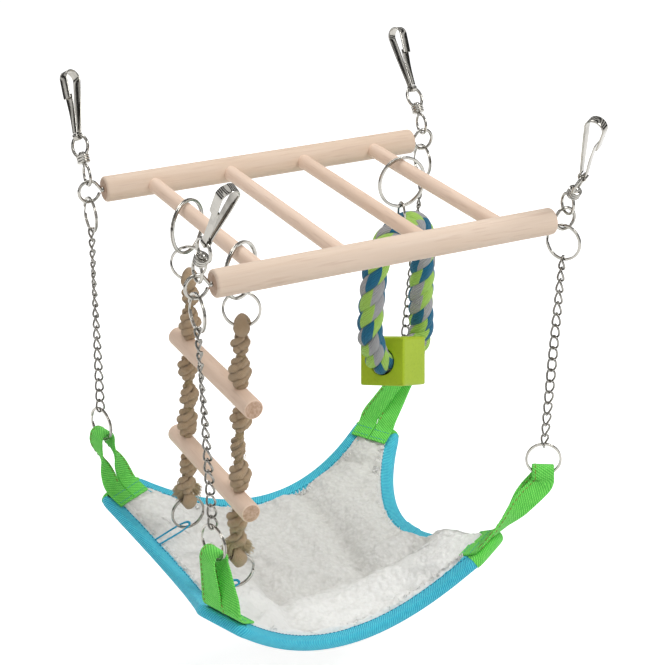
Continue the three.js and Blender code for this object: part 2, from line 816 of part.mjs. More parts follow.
/** Place on the hammock's left edge level with a rope, and the directions there. */
function leftEdge(y) {
  const share = (backLeft.short.y - y) / (backLeft.short.y - frontLeft.short.y);
  const point = sidePoint(sides.left, backLeft.short, frontLeft.short, share);
  const ahead = sidePoint(sides.left, backLeft.short, frontLeft.short, share + 0.01);
  const frame = edgeFrame(point, ahead.sub(point).normalize());
  return { point, ...frame };
}

const ladderRingZ = rungDiameter / 2 + fitClearance - clearRadius(largeRing);
const ladderYaw = -56;
const ropeRingYaw = 63;
const ropeRingZ = ladderRingZ - clearRadius(largeRing) + hangClearance - clearRadius(smallRing);
const eyeInside = Math.hypot(smallRing.depth, 2 * smallRing.width + coilGap) / 2 + fitClearance;
const eyeMiddle = eyeInside + ropeDiameter / 2;

/** Route of one rope: from its ring to its tie ring. */
function ropeRoute(y) {
  const middle = leftEdge(ladderOffset).point;
  const tieZ = middle.z + tieReach;
  const from = vec(firstRungX, y, ropeRingZ - smallMiddle);
  const to = vec(middle.x + tieInset, y, tieZ + smallMiddle);
  const at = (z) => from.clone().lerp(to, (from.z - z) / (from.z - to.z));
  return { from, to, at, tieZ };
}

/** Rings, rope, tie ring and tie thread of one side of the rope ladder. */
function buildRope(name, y) {
  const route = ropeRoute(y);
  splitRing(`ladder_ring_${name}`, largeRing, vec(firstRungX, y, ladderRingZ), ladderYaw);
  splitRing(`rope_ring_${name}`, smallRing, vec(firstRungX, y, ropeRingZ), ropeRingYaw);
  const tieCentre = vec(route.to.x, y, route.tieZ);
  splitRing(`tie_ring_${name}`, smallRing, tieCentre, -90);

  const knotHalf = knotDiameter / 2;
  const knotSeat = Math.sqrt(knotHalf ** 2 - (dowelHole / 2) ** 2);
  const stopGap = dowelDiameter / 2 + knotClearance + knotSeat;
  const stops = dowelDrops.flatMap((drop) => [-drop + stopGap, -drop - stopGap]);
  const knots = [
    route.from.z - eyeMiddle - knotHalf,
    ...stops,
    (stops[1] + stops[2]) / 2,
    route.to.z + eyeMiddle + knotHalf,
  ];
  const upperEnd = route.from.z - eyeMiddle;
  const lowerEnd = route.to.z + eyeMiddle;
  const path = new THREE.LineCurve3(route.at(upperEnd), route.at(lowerEnd));
  const outline = new THREE.Shape();
  outline.absarc(0, 0, ropeDiameter / 2, 0, 2 * Math.PI);
  const tube = new THREE.ExtrudeGeometry(outline, { extrudePath: path, steps: 10, curveSegments: 4 });
  const lumps = knots.map((z) => {
    const at = route.at(z);
    return new THREE.SphereGeometry(knotHalf, 6, 4).rotateX(Math.PI / 2).translate(at.x, at.y, at.z);
  });
  const ropeAxis = heading(ropeRingYaw);
  const upperEye = cordEye(route.from, ropeAxis, upright, eyeInside);
  const lowerEye = cordEye(route.to, vec(0, 1, 0), upright, eyeInside);
  place(`jute_rope_${name}`, shape(joined([tube, ...lumps, upperEye, lowerEye])), "jute");

  const { point, up, out } = leftEdge(y);
  const seat = point.clone().addScaledVector(out, -bindingWidth / 2);
  seat.addScaledVector(up, bindingTop + 3 * fitClearance + threadDiameter / 2);
  const arch = tieCentre.clone();
  arch.z += -smallInner + foldClearance + threadDiameter / 2;
  const shoulder = seat.clone().lerp(arch, 0.8);
  const spread = vec(0, threadSpread, 0);
  const thread = [
    seat.clone().add(spread),
    shoulder.clone().add(spread),
    arch.clone().addScaledVector(spread, half),
    arch.clone().addScaledVector(spread, -half),
    shoulder.clone().sub(spread),
    seat.clone().sub(spread),
  ];
  place(`tie_thread_${name}`, wire(thread, threadDiameter, 6, false), "binding");

  pivot(`ladder_sway_${name}`, bridge, vec(firstRungX, y, 0), backward);
  pivot(`rope_swing_${name}`, bridge, vec(firstRungX, y, ladderRingZ - largeMiddle), sideways);
  pivot(`tie_${name}`, bridge, arch, sideways);
}

/** The two dowels, bored for the ropes. */
function buildDowels() {
  const route = ropeRoute(ladderOffset);
  const lean = Math.atan2(route.from.x - route.to.x, route.from.z - route.to.z);
  dowelDrops.forEach((drop, i) => {
    const at = route.at(-drop);
    let dowel = solid(bar(dowelDiameter, dowelLength, 16).rotateX(Math.PI / 2));
    for (const side of [-1, 1]) {
      const hole = bar(dowelHole, 2 * dowelDiameter, 12);
      hole.rotateY(lean);
      hole.translate(0, (side * ladderSpacing) / 2, 0);
      dowel = dowel.subtract(solid(hole));
    }
    const mesh = place(`ladder_dowel_${i + 1}`, shape(dowel), "beech");
    mesh.position.copy(at);
    pivot(`dowel_level_${i + 1}`, mesh, vec(0, ladderSpacing / 2, 0), sideways);
  });
}

/** Ring, wire link, rope loop and block that hang on the last rung. */
function buildToy() {
  const hang = vec(lastRungX, toyPlace, ladderRingZ);
  splitRing("toy_ring", largeRing, hang, -90);
  const ringLow = ladderRingZ - largeRing.diameter / 2;
  const ropeTop = ringLow - toyRopeBelow - toyRopeDiameter / 2;
  const linkTop = ladderRingZ - innerRadius(largeRing) + hangClearance + linkRoundWire / 2;
  const linkMiddle = vec(lastRungX, toyPlace, (linkTop + ropeTop) / 2);
  const linkReach = (linkRoundWidth - linkRoundWire) / 2;
  const linkOval = oval(linkMiddle, vec(0, 1, 0), upright, linkReach, (linkTop - ropeTop) / 2, 16);
  place("toy_link", wire(linkOval, linkRoundWire, 6, true), "nickel");

  const along = heading(toyTurn);
  const aside = heading(toyTurn + 90);
  const blockZ = ropeTop - blockDrop;
  const blockHalf = blockSize / 2;
  // Half of the rope's route: along the loop's plane, and down from the rope's top.
  const halfRoute = [
    [0, 0],
    [0.49 * loopHalf, 0.03 * blockDrop],
    [0.81 * loopHalf, 0.11 * blockDrop],
    [0.95 * loopHalf, 0.26 * blockDrop],
    [loopHalf, 0.45 * blockDrop],
    [loopHalf, 0.66 * blockDrop],
    [loopHalf, blockDrop - toyRopeDiameter],
    [blockHalf + 0.57 * toyRopeDiameter, blockDrop - 0.25 * toyRopeDiameter],
    [blockHalf + 0.14 * toyRopeDiameter, blockDrop],
    [0.7 * blockHalf, blockDrop],
    [fitClearance, blockDrop],
  ];
  const mirrored = halfRoute.map(([out, down]) => [-out, down]).reverse();
  const route = [...mirrored, ...halfRoute.slice(1)].map(([out, down]) => {
    const below = down - blockDrop;
    const share = THREE.MathUtils.smoothstep(below, -2 * toyRopeDiameter, -0.3 * toyRopeDiameter);
    const angle = rad(blockTilt) * share;
    const across = out * Math.cos(angle) - below * Math.sin(angle);
    const point = vec(lastRungX, toyPlace, blockZ - below * Math.cos(angle) - out * Math.sin(angle));
    return point.addScaledVector(along, across).addScaledVector(aside, (blockDrift * down) / blockDrop);
  });
  const path = new THREE.CatmullRomCurve3(route, false, "centripetal");
  const outline = new THREE.Shape();
  outline.absarc(0, 0, toyRopeDiameter / 2, 0, 2 * Math.PI);
  const tube = new THREE.ExtrudeGeometry(outline, { extrudePath: path, steps: 38, curveSegments: 4 });
  const channel = wire(linkOval, linkRoundWire + 2 * fitClearance, 6, true);
  place("toy_rope", shape(solid(tube).subtract(solid(channel))), "rope");

  const bore = bar(toyRopeDiameter + 4 * fitClearance, 2 * blockSize, 16).rotateY(Math.PI / 2);
  const cube = new THREE.BoxGeometry(blockSize, blockSize, blockSize);
  const mesh = place("toy_block", shape(solid(cube).subtract(solid(bore))), "block");
  mesh.position.set(lastRungX, toyPlace, blockZ).addScaledVector(aside, blockDrift);
  mesh.rotation.set(rad(blockRoll), rad(blockTilt), rad(toyTurn), "ZYX");

  pivot("toy_sway", bridge, vec(lastRungX, toyPlace, 0), backward);
  pivot("toy_swing", bridge, vec(lastRungX, toyPlace, ladderRingZ - largeMiddle), sideways);
  pivot("block_turn", mesh, vec(0, 0, 0), sideways);
}

bridge.position.z = -hangHeight;
buildBridge();
corners.forEach(buildHook);
corners.forEach(buildChain);
buildPad();
corners.forEach((corner) => buildWebbing(corner, cornerEnds(corner)));
buildRope("back", ladderOffset + ladderSpacing / 2);
buildRope("front", ladderOffset - ladderSpacing / 2);
buildDowels();
buildToy();

export default root;
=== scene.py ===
"""Dresses the small animal hammock bridge: beech, nickel, fleece, webbing, jute and a rope toy.

Sizes are in millimetres and degrees, in the bridge's own frame: +X along the rails, +Y to the back, +Z up
from the rails' centre plane. A piece goes into metres in the part's frame when its mesh is made.
"""

import logging
from dataclasses import dataclass, field
from enum import Enum
from math import asin, cos, degrees, hypot, pi, radians, sin, sqrt
from typing import Optional, Sequence

import bmesh
import bpy
import numpy as np
from mathutils import Matrix, Vector


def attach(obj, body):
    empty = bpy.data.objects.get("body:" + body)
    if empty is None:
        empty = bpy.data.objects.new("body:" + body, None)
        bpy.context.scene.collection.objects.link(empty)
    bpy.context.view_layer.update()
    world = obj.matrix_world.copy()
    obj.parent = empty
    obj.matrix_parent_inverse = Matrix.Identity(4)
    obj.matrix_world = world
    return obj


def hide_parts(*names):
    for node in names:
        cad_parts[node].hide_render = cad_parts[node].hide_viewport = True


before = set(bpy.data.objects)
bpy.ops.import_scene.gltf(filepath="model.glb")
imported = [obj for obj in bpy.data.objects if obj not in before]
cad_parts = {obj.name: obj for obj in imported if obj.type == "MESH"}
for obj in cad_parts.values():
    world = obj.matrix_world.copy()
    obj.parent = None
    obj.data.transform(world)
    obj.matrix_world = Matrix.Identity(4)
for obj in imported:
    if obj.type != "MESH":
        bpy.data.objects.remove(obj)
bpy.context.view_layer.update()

log = logging.getLogger("hammock_bridge")
Array = np.ndarray
Node = bpy.types.Node
NodeTree = bpy.types.NodeTree
Piece = bpy.types.Object
Socket = bpy.types.NodeSocket

MM = 0.001
UP = np.array([0.0, 0.0, 1.0])
RIGHT = np.array([1.0, 0.0, 0.0])
BACK = np.array([0.0, 1.0, 0.0])


# Numbers and directions


def unit(vectors: Array) -> Array:
    """Vectors divided by their own lengths."""
    return vectors / np.maximum(np.linalg.norm(vectors, axis=-1, keepdims=True), 1e-12)


def heading(angle: float) -> Array:
    """Horizontal direction at an angle in degrees from +X towards +Y."""
    return np.array([cos(radians(angle)), sin(radians(angle)), 0.0])


def between(turn: Array, first: Array, second: Array) -> Array:
    """Direction at a turn in radians from one direction to another: first cos t + second sin t."""
    return np.cos(turn)[..., None] * first + np.sin(turn)[..., None] * second


def rays(turn: Array) -> Array:
    """Points of a unit circle in the plane, at angles in radians."""
    return between(turn, *np.eye(2))


def turned_about(axis: str, angle: float) -> Array:
    """Rotation matrix about a named axis, by an angle in degrees.

    Args:
        axis: Letter of the axis.
        angle: The turn.

    Returns:
        The matrix.
    """
    c, s = cos(radians(angle)), sin(radians(angle))
    return {
        "x": np.array([[1, 0, 0], [0, c, -s], [0, s, c]]),
        "y": np.array([[c, 0, s], [0, 1, 0], [-s, 0, c]]),
        "z": np.array([[c, -s, 0], [s, c, 0], [0, 0, 1]]),
    }[axis]


def smoothstep(values: Array, low: float, high: float) -> Array:
    """Eased share from 0 at low to 1 at high: 3t^2 - 2t^3."""
    share = np.clip((values - low) / (high - low), 0.0, 1.0)
    return share * share * (3.0 - 2.0 * share)


def scattered(cells: Array, salt: int) -> Array:
    """Repeatable numbers from 0 to 1, one for each row of whole numbers.

    Args:
        cells: Whole numbers, the last axis holding two or three of them.
        salt: Picks one of many sets of numbers.

    Returns:
        One number for each row.
    """
    primes = np.array([73856093, 19349663, 83492791], dtype=np.int64)
    mixed = (cells.astype(np.int64) * primes[: cells.shape[-1]]).sum(axis=-1) + salt * 7919
    mixed = ((mixed ^ (mixed >> 13)) & 0xFFFFFF) * 1274126
    mixed = (mixed ^ (mixed >> 11)) & 0xFFFFF
    return mixed / float(0x100000)


def cloudy(points: Array, size: float, salt: int) -> Array:
    """Smooth noise from 0 to 1: random values on a square lattice, eased between its corners.

    Args:
        points: Places in the plane, two columns.
        size: Spacing of the lattice.
        salt: Picks one of many patterns.

    Returns:
        One value for each place.
    """
    scaled = points / size
    cell = np.floor(scaled)
    part = scaled - cell
    ease = part * part * (3.0 - 2.0 * part)
    total = np.zeros(points.shape[:-1])
    for step in np.ndindex(2, 2):
        weight = np.where(step, ease, 1.0 - ease)
        total += scattered(cell + step, salt) * weight[..., 0] * weight[..., 1]
    return total


def tufted(points: Array, size: float, salt: int) -> Array:
    """Round tufts from 0 to 1: exp(-1.3 d^2), with d the distance to the nearest jittered lattice point.

    Args:
        points: Places in the plane, two columns.
        size: Spacing of the tufts.
        salt: Picks one of many patterns.

    Returns:
        One height for each place.
    """
    scaled = points / size
    cell = np.floor(scaled)
    least = np.full(points.shape[:-1], 9.0)
    for step in np.ndindex(3, 3):
        near = cell + step - 1
        jitter = np.stack([scattered(near, salt), scattered(near, salt + 1)], axis=-1)
        least = np.minimum(least, ((near + jitter - scaled) ** 2).sum(axis=-1))
    return np.exp(-1.3 * least)


# Lines


def travel(line: Array, closed: bool = False) -> Array:
    """Direction of travel at each point of a line, from its neighbours on both sides."""
    if closed:
        return unit(np.roll(line, -1, axis=0) - np.roll(line, 1, axis=0))
    return unit(np.gradient(line, axis=0))


def run_of(line: Array) -> Array:
    """Distance along a line to each of its points."""
    return np.concatenate([[0.0], np.cumsum(np.linalg.norm(np.diff(line, axis=0), axis=1))])


def respaced(line: Array, count: int) -> Array:
    """The same line with its points at equal distances along it."""
    run = run_of(line)
    wanted = np.linspace(0.0, run[-1], count)
    return np.stack([np.interp(wanted, run, line[:, axis]) for axis in range(line.shape[1])], axis=1)


def smooth_line(points: Sequence[Sequence[float]], per_span: int = 12) -> Array:
    """A smooth line through points: centripetal Catmull-Rom, each span a cubic between its two points.

    Args:
        points: The points that the line goes through.
        per_span: Points made for each span.

    Returns:
        The line's points.
    """
    given = np.asarray(points, dtype=float)
    padded = np.vstack([2 * given[0] - given[1], given, 2 * given[-1] - given[-2]])
    p0, p1, p2, p3 = padded[:-3], padded[1:-2], padded[2:-1], padded[3:]
    t0, t1, t2 = (np.sqrt(np.linalg.norm(step, axis=1))[:, None] for step in (p1 - p0, p2 - p1, p3 - p2))
    m1 = ((p1 - p0) / t0 - (p2 - p0) / (t0 + t1) + (p2 - p1) / t1) * t1
    m2 = ((p2 - p1) / t1 - (p3 - p1) / (t1 + t2) + (p3 - p2) / t2) * t1
    w = (np.arange(per_span) / per_span)[None, :, None]
    h00, h10 = 2 * w**3 - 3 * w**2 + 1, w**3 - 2 * w**2 + w
    h01, h11 = -2 * w**3 + 3 * w**2, w**3 - w**2
    spans = h00 * p1[:, None] + h10 * m1[:, None] + h01 * p2[:, None] + h11 * m2[:, None]
    return np.vstack([spans.reshape(-1, given.shape[1]), given[-1]])


def oval_line(centre: Array, first: Array, second: Array, a: float, b: float, count: int) -> Array:
    """Points round an oval in the plane of two directions: a cos t and b sin t."""
    return centre + between(np.linspace(0.0, 2 * pi, count, endpoint=False), a * first, b * second)


# Surfaces


@dataclass
class Surface:
    """Points and faces of one surface, with a UV pair in millimetres at each corner of a face."""

    points: Array
    quads: Array
    quad_uv: Array
    tris: Array = field(default_factory=lambda: np.zeros((0, 3), dtype=int))
    tri_uv: Array = field(default_factory=lambda: np.zeros((0, 3, 2)))
    tone: Optional[Array] = None

    def tones(self) -> Array:
        """The surface's own number at each point, nought where none is set."""
        return np.zeros(len(self.points)) if self.tone is None else self.tone

    def toned(self, value: float) -> "Surface":
        """The same surface with one number at all its points."""
        self.tone = np.full(len(self.points), value)
        return self

    def moved(self, rotation: Array, origin: Array) -> "Surface":
        """The same surface, turned and then shifted."""
        self.points = self.points @ rotation.T + origin
        return self

    def facing_out(self) -> "Surface":
        """The same surface, its faces reversed where they enclose a negative volume.

        Returns:
            The surface itself.
        """
        p, q, t = self.points, self.quads, self.tris
        corners = p[np.concatenate([q[:, [0, 1, 2]], q[:, [0, 2, 3]], t])]
        volume = np.einsum("ij,ij->", corners[:, 0], np.cross(corners[:, 1], corners[:, 2]))
        if volume < 0:
            self.quads, self.quad_uv = q[:, ::-1], self.quad_uv[:, ::-1]
            self.tris, self.tri_uv = t[:, ::-1], self.tri_uv[:, ::-1]
        return self


def together(surfaces: Sequence[Surface]) -> Surface:
    """Several surfaces as one, each with its own points.

    Args:
        surfaces: The surfaces.

    Returns:
        All their points and faces.
    """
    counts = np.cumsum([0] + [len(s.points) for s in surfaces[:-1]])
    return Surface(
        points=np.concatenate([s.points for s in surfaces]),
        quads=np.concatenate([s.quads + n for s, n in zip(surfaces, counts)]),
        quad_uv=np.concatenate([s.quad_uv for s in surfaces]),
        tris=np.concatenate([s.tris + n for s, n in zip(surfaces, counts)]),
        tri_uv=np.concatenate([s.tri_uv for s in surfaces]),
        tone=np.concatenate([s.tones() for s in surfaces]),
    )


def circle(count: int) -> Array:
    """Points of a unit circle."""
    return rays(np.linspace(0.0, 2 * pi, count, endpoint=False))


def flat_section(width: float, thickness: float, corner: float, steps: int = 4) -> Array:
    """A rectangle with rounded corners: four quarter circles about the ends of a smaller rectangle.

    Args:
        width: Size along the first axis.
        thickness: Size along the second axis.
        corner: Radius of the corners.
        steps: Points of each corner, less one.

    Returns:
        The section's points in order.
    """
    t = np.radians(np.linspace(0.0, 90.0, steps + 1))
    arcs = []
    for k, (sx, sy) in enumerate(((1, 1), (-1, 1), (-1, -1), (1, -1))):
        middle = np.array([sx * (width / 2 - corner), sy * (thickness / 2 - corner)])
        arcs.append(middle + corner * rays(t + k * pi / 2))
    return np.concatenate(arcs)


def grid_quads(rows: int, columns: int) -> Array:
    """Faces of an open grid of points, as four point numbers each."""
    index = np.arange(rows * columns).reshape(rows, columns)
    corners = [index[:-1, :-1], index[1:, :-1], index[1:, 1:], index[:-1, 1:]]
    return np.stack(corners, axis=-1).reshape(-1, 4)


def tube_quads(rows: int, columns: int, closed: bool = False) -> Array:
    """Faces of a tube, each from one station to the next and from one point round it to the next.

    Args:
        rows: Stations along the tube.
        columns: Points round it.
        closed: Whether the last station meets the first.

    Returns:
        Four point numbers for each face.
    """
    i, j = np.meshgrid(np.arange(rows if closed else rows - 1), np.arange(columns), indexing="ij")
    here, onward, beside = i * columns, (i + 1) % rows * columns, (j + 1) % columns
    return np.stack([here + j, onward + j, onward + beside, here + beside], axis=-1).reshape(-1, 4)


def swept(line: Array, across: Array, through: Array, section: Array, closed: bool = False) -> Surface:
    """A profile carried along a path: point = line + x across + y through for each (x, y) of the section.

    Args:
        line: The path's points.
        across: Direction of the section's first axis at each point, or one for all.
        through: Direction of its second axis.
        section: The profile's points, one set for all stations or one for each.
        closed: Whether the path meets itself; if not, both ends get a fan of faces.

    Returns:
        The closed surface, its UV running along the path and round the profile.
    """
    rows = len(line)
    across = np.broadcast_to(across, line.shape)[:, None, :]
    through = np.broadcast_to(through, line.shape)[:, None, :]
    profile = np.broadcast_to(section, (rows,) + section.shape[-2:])
    columns = profile.shape[1]
    grid = line[:, None, :] + profile[..., :1] * across + profile[..., 1:] * through
    quads = tube_quads(rows, columns, closed)
    i, j = np.divmod(quads[:, 0], columns)
    run = run_of(np.vstack([line, line[:1]]) if closed else line)
    girth = run_of(np.vstack([profile[rows // 2], profile[rows // 2][:1]]))
    u = np.stack([run[i], run[i + 1], run[i + 1], run[i]], axis=1)
    v = np.stack([girth[j], girth[j], girth[j + 1], girth[j + 1]], axis=1)
    surface = Surface(grid.reshape(-1, 3), quads, np.stack([u, v], axis=-1))
    if not closed:
        ring = np.arange(columns)
        onward = (ring + 1) % columns
        hub, last = rows * columns, (rows - 1) * columns
        near = np.stack([np.full(columns, hub), ring, onward], axis=1)
        far = np.stack([np.full(columns, hub + 1), last + onward, last + ring], axis=1)
        surface.points = np.vstack([surface.points, grid[[0, -1]].mean(axis=1)])
        surface.tris = np.concatenate([near, far])
        near_uv = np.stack([np.zeros((columns, 3)), girth[near * (near < columns)]], axis=-1)
        far_uv = np.stack([np.full((columns, 3), run[-1]), near_uv[..., 1]], axis=-1)
        surface.tri_uv = np.concatenate([near_uv, far_uv])
    return surface.facing_out()


def sides_of(line: Array, towards: Array, closed: bool = False) -> tuple[Array, Array]:
    """Two directions square to a line: the given one less its part along the line, and the one across both.

    Args:
        line: The line's points.
        towards: A direction, or one at each point, that isn't along the line.
        closed: Whether the line meets itself.

    Returns:
        The two directions at each point.
    """
    along = travel(line, closed)
    towards = np.broadcast_to(towards, line.shape)
    first = unit(towards - (towards * along).sum(axis=1, keepdims=True) * along)
    return first, np.cross(along, first)


def wire(line: Array, diameter: float, towards: Array, closed: bool = False, edges: int = 14) -> Surface:
    """A round wire along a line, its section set by a direction that isn't along the line."""
    return swept(line, *sides_of(line, towards, closed), circle(edges) * diameter / 2, closed)


def turned(profile: Sequence[Sequence[float]], origin: Array, axis: Array, segments: int) -> Surface:
    """A turned body: each (radius, height) of the profile goes once round the axis.

    Args:
        profile: Radius and height pairs from one end to the other.
        origin: Place of height nought.
        axis: Direction of height.
        segments: Points round the body.

    Returns:
        The body's surface.
    """
    pairs = np.asarray(profile, dtype=float)
    aside = BACK if abs(axis[1]) < 0.9 else RIGHT
    first = unit(np.cross(aside, axis))
    line = origin + pairs[:, 1:] * axis
    return swept(line, first, np.cross(axis, first), pairs[:, :1, None] * circle(segments))


def round_bar(radius: float, half: float, corner: float, origin: Array, axis: Array, segments: int) -> Surface:
    """A turned bar whose end edges are quarter circles, its two cut ends marked by the number one.

    Args:
        radius: The bar's radius.
        half: Half of its length.
        corner: Radius of the end edges.
        origin: Its middle.
        axis: Its direction.
        segments: Points round it.

    Returns:
        The bar's surface.
    """
    bend = np.radians(np.linspace(0.0, 90.0, 7))
    edge = np.stack([radius - corner + corner * np.sin(bend), corner * (1 - np.cos(bend)) - half], axis=1)
    bar = turned(np.vstack([edge, edge[::-1] * np.array([1.0, -1.0])]), origin, axis, segments).toned(0.0)
    bar.tone[:segments] = 1.0
    bar.tone[-segments - 2 :] = 1.0
    return bar


def twisted(line: Array, diameter: float, pitch: float, edges: int, swell: float = 1.0) -> Surface:
    """A laid rope of three strands, each a round tube on a helix about the line.

    A strand's middle is line + offset (cos f, sin f) with f = 2 pi (run / pitch + k / 3).

    Args:
        line: The rope's middle line.
        diameter: The rope's diameter over its strands.
        pitch: Length of one full turn.
        edges: Points round a strand.
        swell: How much thicker a strand is than three that just touch.

    Returns:
        The three strands.
    """
    radius = diameter / 2 * 0.4641 * swell
    first, second = sides_of(line, BACK if abs(travel(line)[:, 1]).max() < 0.9 else RIGHT)
    strands = []
    for k in range(3):
        outward = between(2 * pi * (run_of(line) / pitch + k / 3), first, second)
        strands.append(wire(line + (diameter / 2 - radius) * outward, 2 * radius, outward, edges=edges))
    return together(strands)


def bundle(middle: Array, first: Array, second: Array, thick: Array, sides: int) -> Surface:
    """Many thin tubes as one surface: point = middle + thick (first cos t + second sin t).

    Args:
        middle: Middle line of each tube.
        first: A direction square to each tube.
        second: The direction square to both.
        thick: Radius at each station of a line.
        sides: Points round a tube.

    Returns:
        All the tubes, their UV counting stations and sides.
    """
    ring = circle(sides)
    around = ring[None, :, :1] * first[:, None] + ring[None, :, 1:] * second[:, None]
    points = middle[:, :, None] + around[:, None] * thick[None, :, None, None]
    count, rows = points.shape[:2]
    one = tube_quads(rows, sides)
    quads = (one[None] + (np.arange(count) * rows * sides)[:, None, None]).reshape(-1, 4)
    uv = np.stack([one // sides, one % sides], axis=-1).astype(float)
    return Surface(points.reshape(-1, 3), quads, np.tile(uv, (count, 1, 1))).facing_out()


def capsules(starts: Array, ends: Array, radius: float, rise: Array) -> Surface:
    """Short stitches, each a thin bead arched by a half circle from its start to its end.

    Args:
        starts: First end of each stitch.
        ends: Second end of each stitch.
        radius: Half of the thread's thickness.
        rise: Direction that each stitch arches towards.

    Returns:
        All the stitches as one surface.
    """
    share = np.linspace(0.0, 1.0, 6)
    bulge = radius * np.sqrt(np.clip(1 - (2 * share - 1) ** 2, 0.02, 1.0))
    along = unit(ends - starts)
    first = unit(rise - (rise * along).sum(axis=1, keepdims=True) * along)
    middle = starts[:, None] + (ends - starts)[:, None] * share[None, :, None]
    middle = middle + first[:, None] * (0.8 * bulge)[None, :, None]
    stitches = bundle(middle, first, np.cross(along, first), bulge, 6)
    stitches.quad_uv = stitches.quad_uv[..., ::-1]
    return stitches


def fibres(roots: Array, tips: Array, bows: Array, radius: float) -> Surface:
    """Loose fibres, each a thin three-sided hair on a bent line: root + t (tip - root) + 4t(1 - t) bow.

    Args:
        roots: Where each fibre starts.
        tips: Where each fibre ends.
        bows: How far and which way its middle bends.
        radius: Half of its thickness at the root.

    Returns:
        All the fibres as one surface.
    """
    share = np.linspace(0.0, 1.0, 5)
    middle = roots[:, None] + (tips - roots)[:, None] * share[None, :, None]
    middle = middle + bows[:, None] * (4 * share * (1 - share))[None, :, None]
    along = unit(tips - roots)
    first = unit(np.cross(along, UP + 0.01 * RIGHT))
    return bundle(middle, first, np.cross(along, first), radius * (1.0 - 0.8 * share), 3)


# Shader effects


def tint(red: int, green: int, blue: int) -> tuple[float, float, float, float]:
    """A colour given as it looks on a screen, in the numbers that a shader takes."""
    channels = np.array([red, green, blue]) / 255.0
    linear = np.where(channels <= 0.04045, channels / 12.92, ((channels + 0.055) / 1.055) ** 2.4)
    return (float(linear[0]), float(linear[1]), float(linear[2]), 1.0)


class Tree:
    """A node tree with short ways to add and join its nodes."""

    def __init__(self, tree: NodeTree) -> None:
        """Keeps the tree."""
        self.tree = tree

    def add(self, kind: str, **settings: object) -> Node:
        """A new node with its settings made.

        Args:
            kind: The node's type.
            settings: Its properties.

        Returns:
            The node.
        """
        node = self.tree.nodes.new(kind)
        for name, value in settings.items():
            setattr(node, name, value)
        return node

    def join(self, socket: Socket, value: object) -> None:
        """Joins an output to an input, or sets the input's own value.

        Args:
            socket: The input.
            value: An output or a plain value.
        """
        if isinstance(value, Socket):
            self.tree.links.new(value, socket)
        else:
            socket.default_value = value

    def feed(self, node: Node, *values: object, **named: object) -> Node:
        """Fills a node's inputs.

        Args:
            node: The node.
            values: Outputs or plain values for its first inputs, in order.
            named: The same by the inputs' names, an underscore standing for a space.

        Returns:
            The node.
        """
        for socket, value in zip(node.inputs, values):
            self.join(socket, value)
        for name, value in named.items():
            self.join(node.inputs[name.replace("_", " ")], value)
        return node

    def sum(self, operation: str, *values: object) -> Socket:
        """The result of one Math node."""
        return self.feed(self.add("ShaderNodeMath", operation=operation), *values).outputs[0]

    def blend(self, share: object, first: object, second: object) -> Socket:
        """A colour between two others.

        Args:
            share: How much of the second there is.
            first: The colour at nought.
            second: The colour at one.

        Returns:
            The blended colour.
        """
        node = self.add("ShaderNodeMix", data_type="RGBA")
        for socket, value in ((0, share), (6, first), (7, second)):
            self.join(node.inputs[socket], value)
        return node.outputs[2]

    def noise(self, vector: object, scale: object, detail: float = 3.0, rough: float = 0.6) -> Socket:
        """The value of one Noise Texture."""
        node = self.add("ShaderNodeTexNoise")
        return self.feed(node, Vector=vector, Scale=scale, Detail=detail, Roughness=rough).outputs[0]

    def stretched(self, vector: object, scale: object) -> Socket:
        """A vector multiplied by another."""
        return self.feed(self.add("ShaderNodeVectorMath", operation="MULTIPLY"), vector, scale).outputs[0]

    def within(self, value: object, low: float, high: float, to_low: float, to_high: float) -> Socket:
        """A value carried from one range to another and kept in it."""
        node = self.add("ShaderNodeMapRange", clamp=True)
        return self.feed(node, value, low, high, to_low, to_high).outputs[0]

    def parts(self, vector: object) -> Sequence[Socket]:
        """The X, Y and Z of a vector."""
        return self.feed(self.add("ShaderNodeSeparateXYZ"), vector).outputs

    def place(self, name: str) -> Socket:
        """An output of Texture Coordinate, such as Object or UV."""
        return self.add("ShaderNodeTexCoord").outputs[name]

    def tone(self) -> Socket:
        """The piece's own number at each place."""
        return self.add("ShaderNodeAttribute", attribute_name="tone").outputs["Fac"]


class Effect(Enum):
    """Shader groups that several finishes share."""

    GRAIN = "wood_grain"
    WEAVE = "ribbed_weave"
    LAY = "yarn_lay"
    HANDLING = "handling_marks"


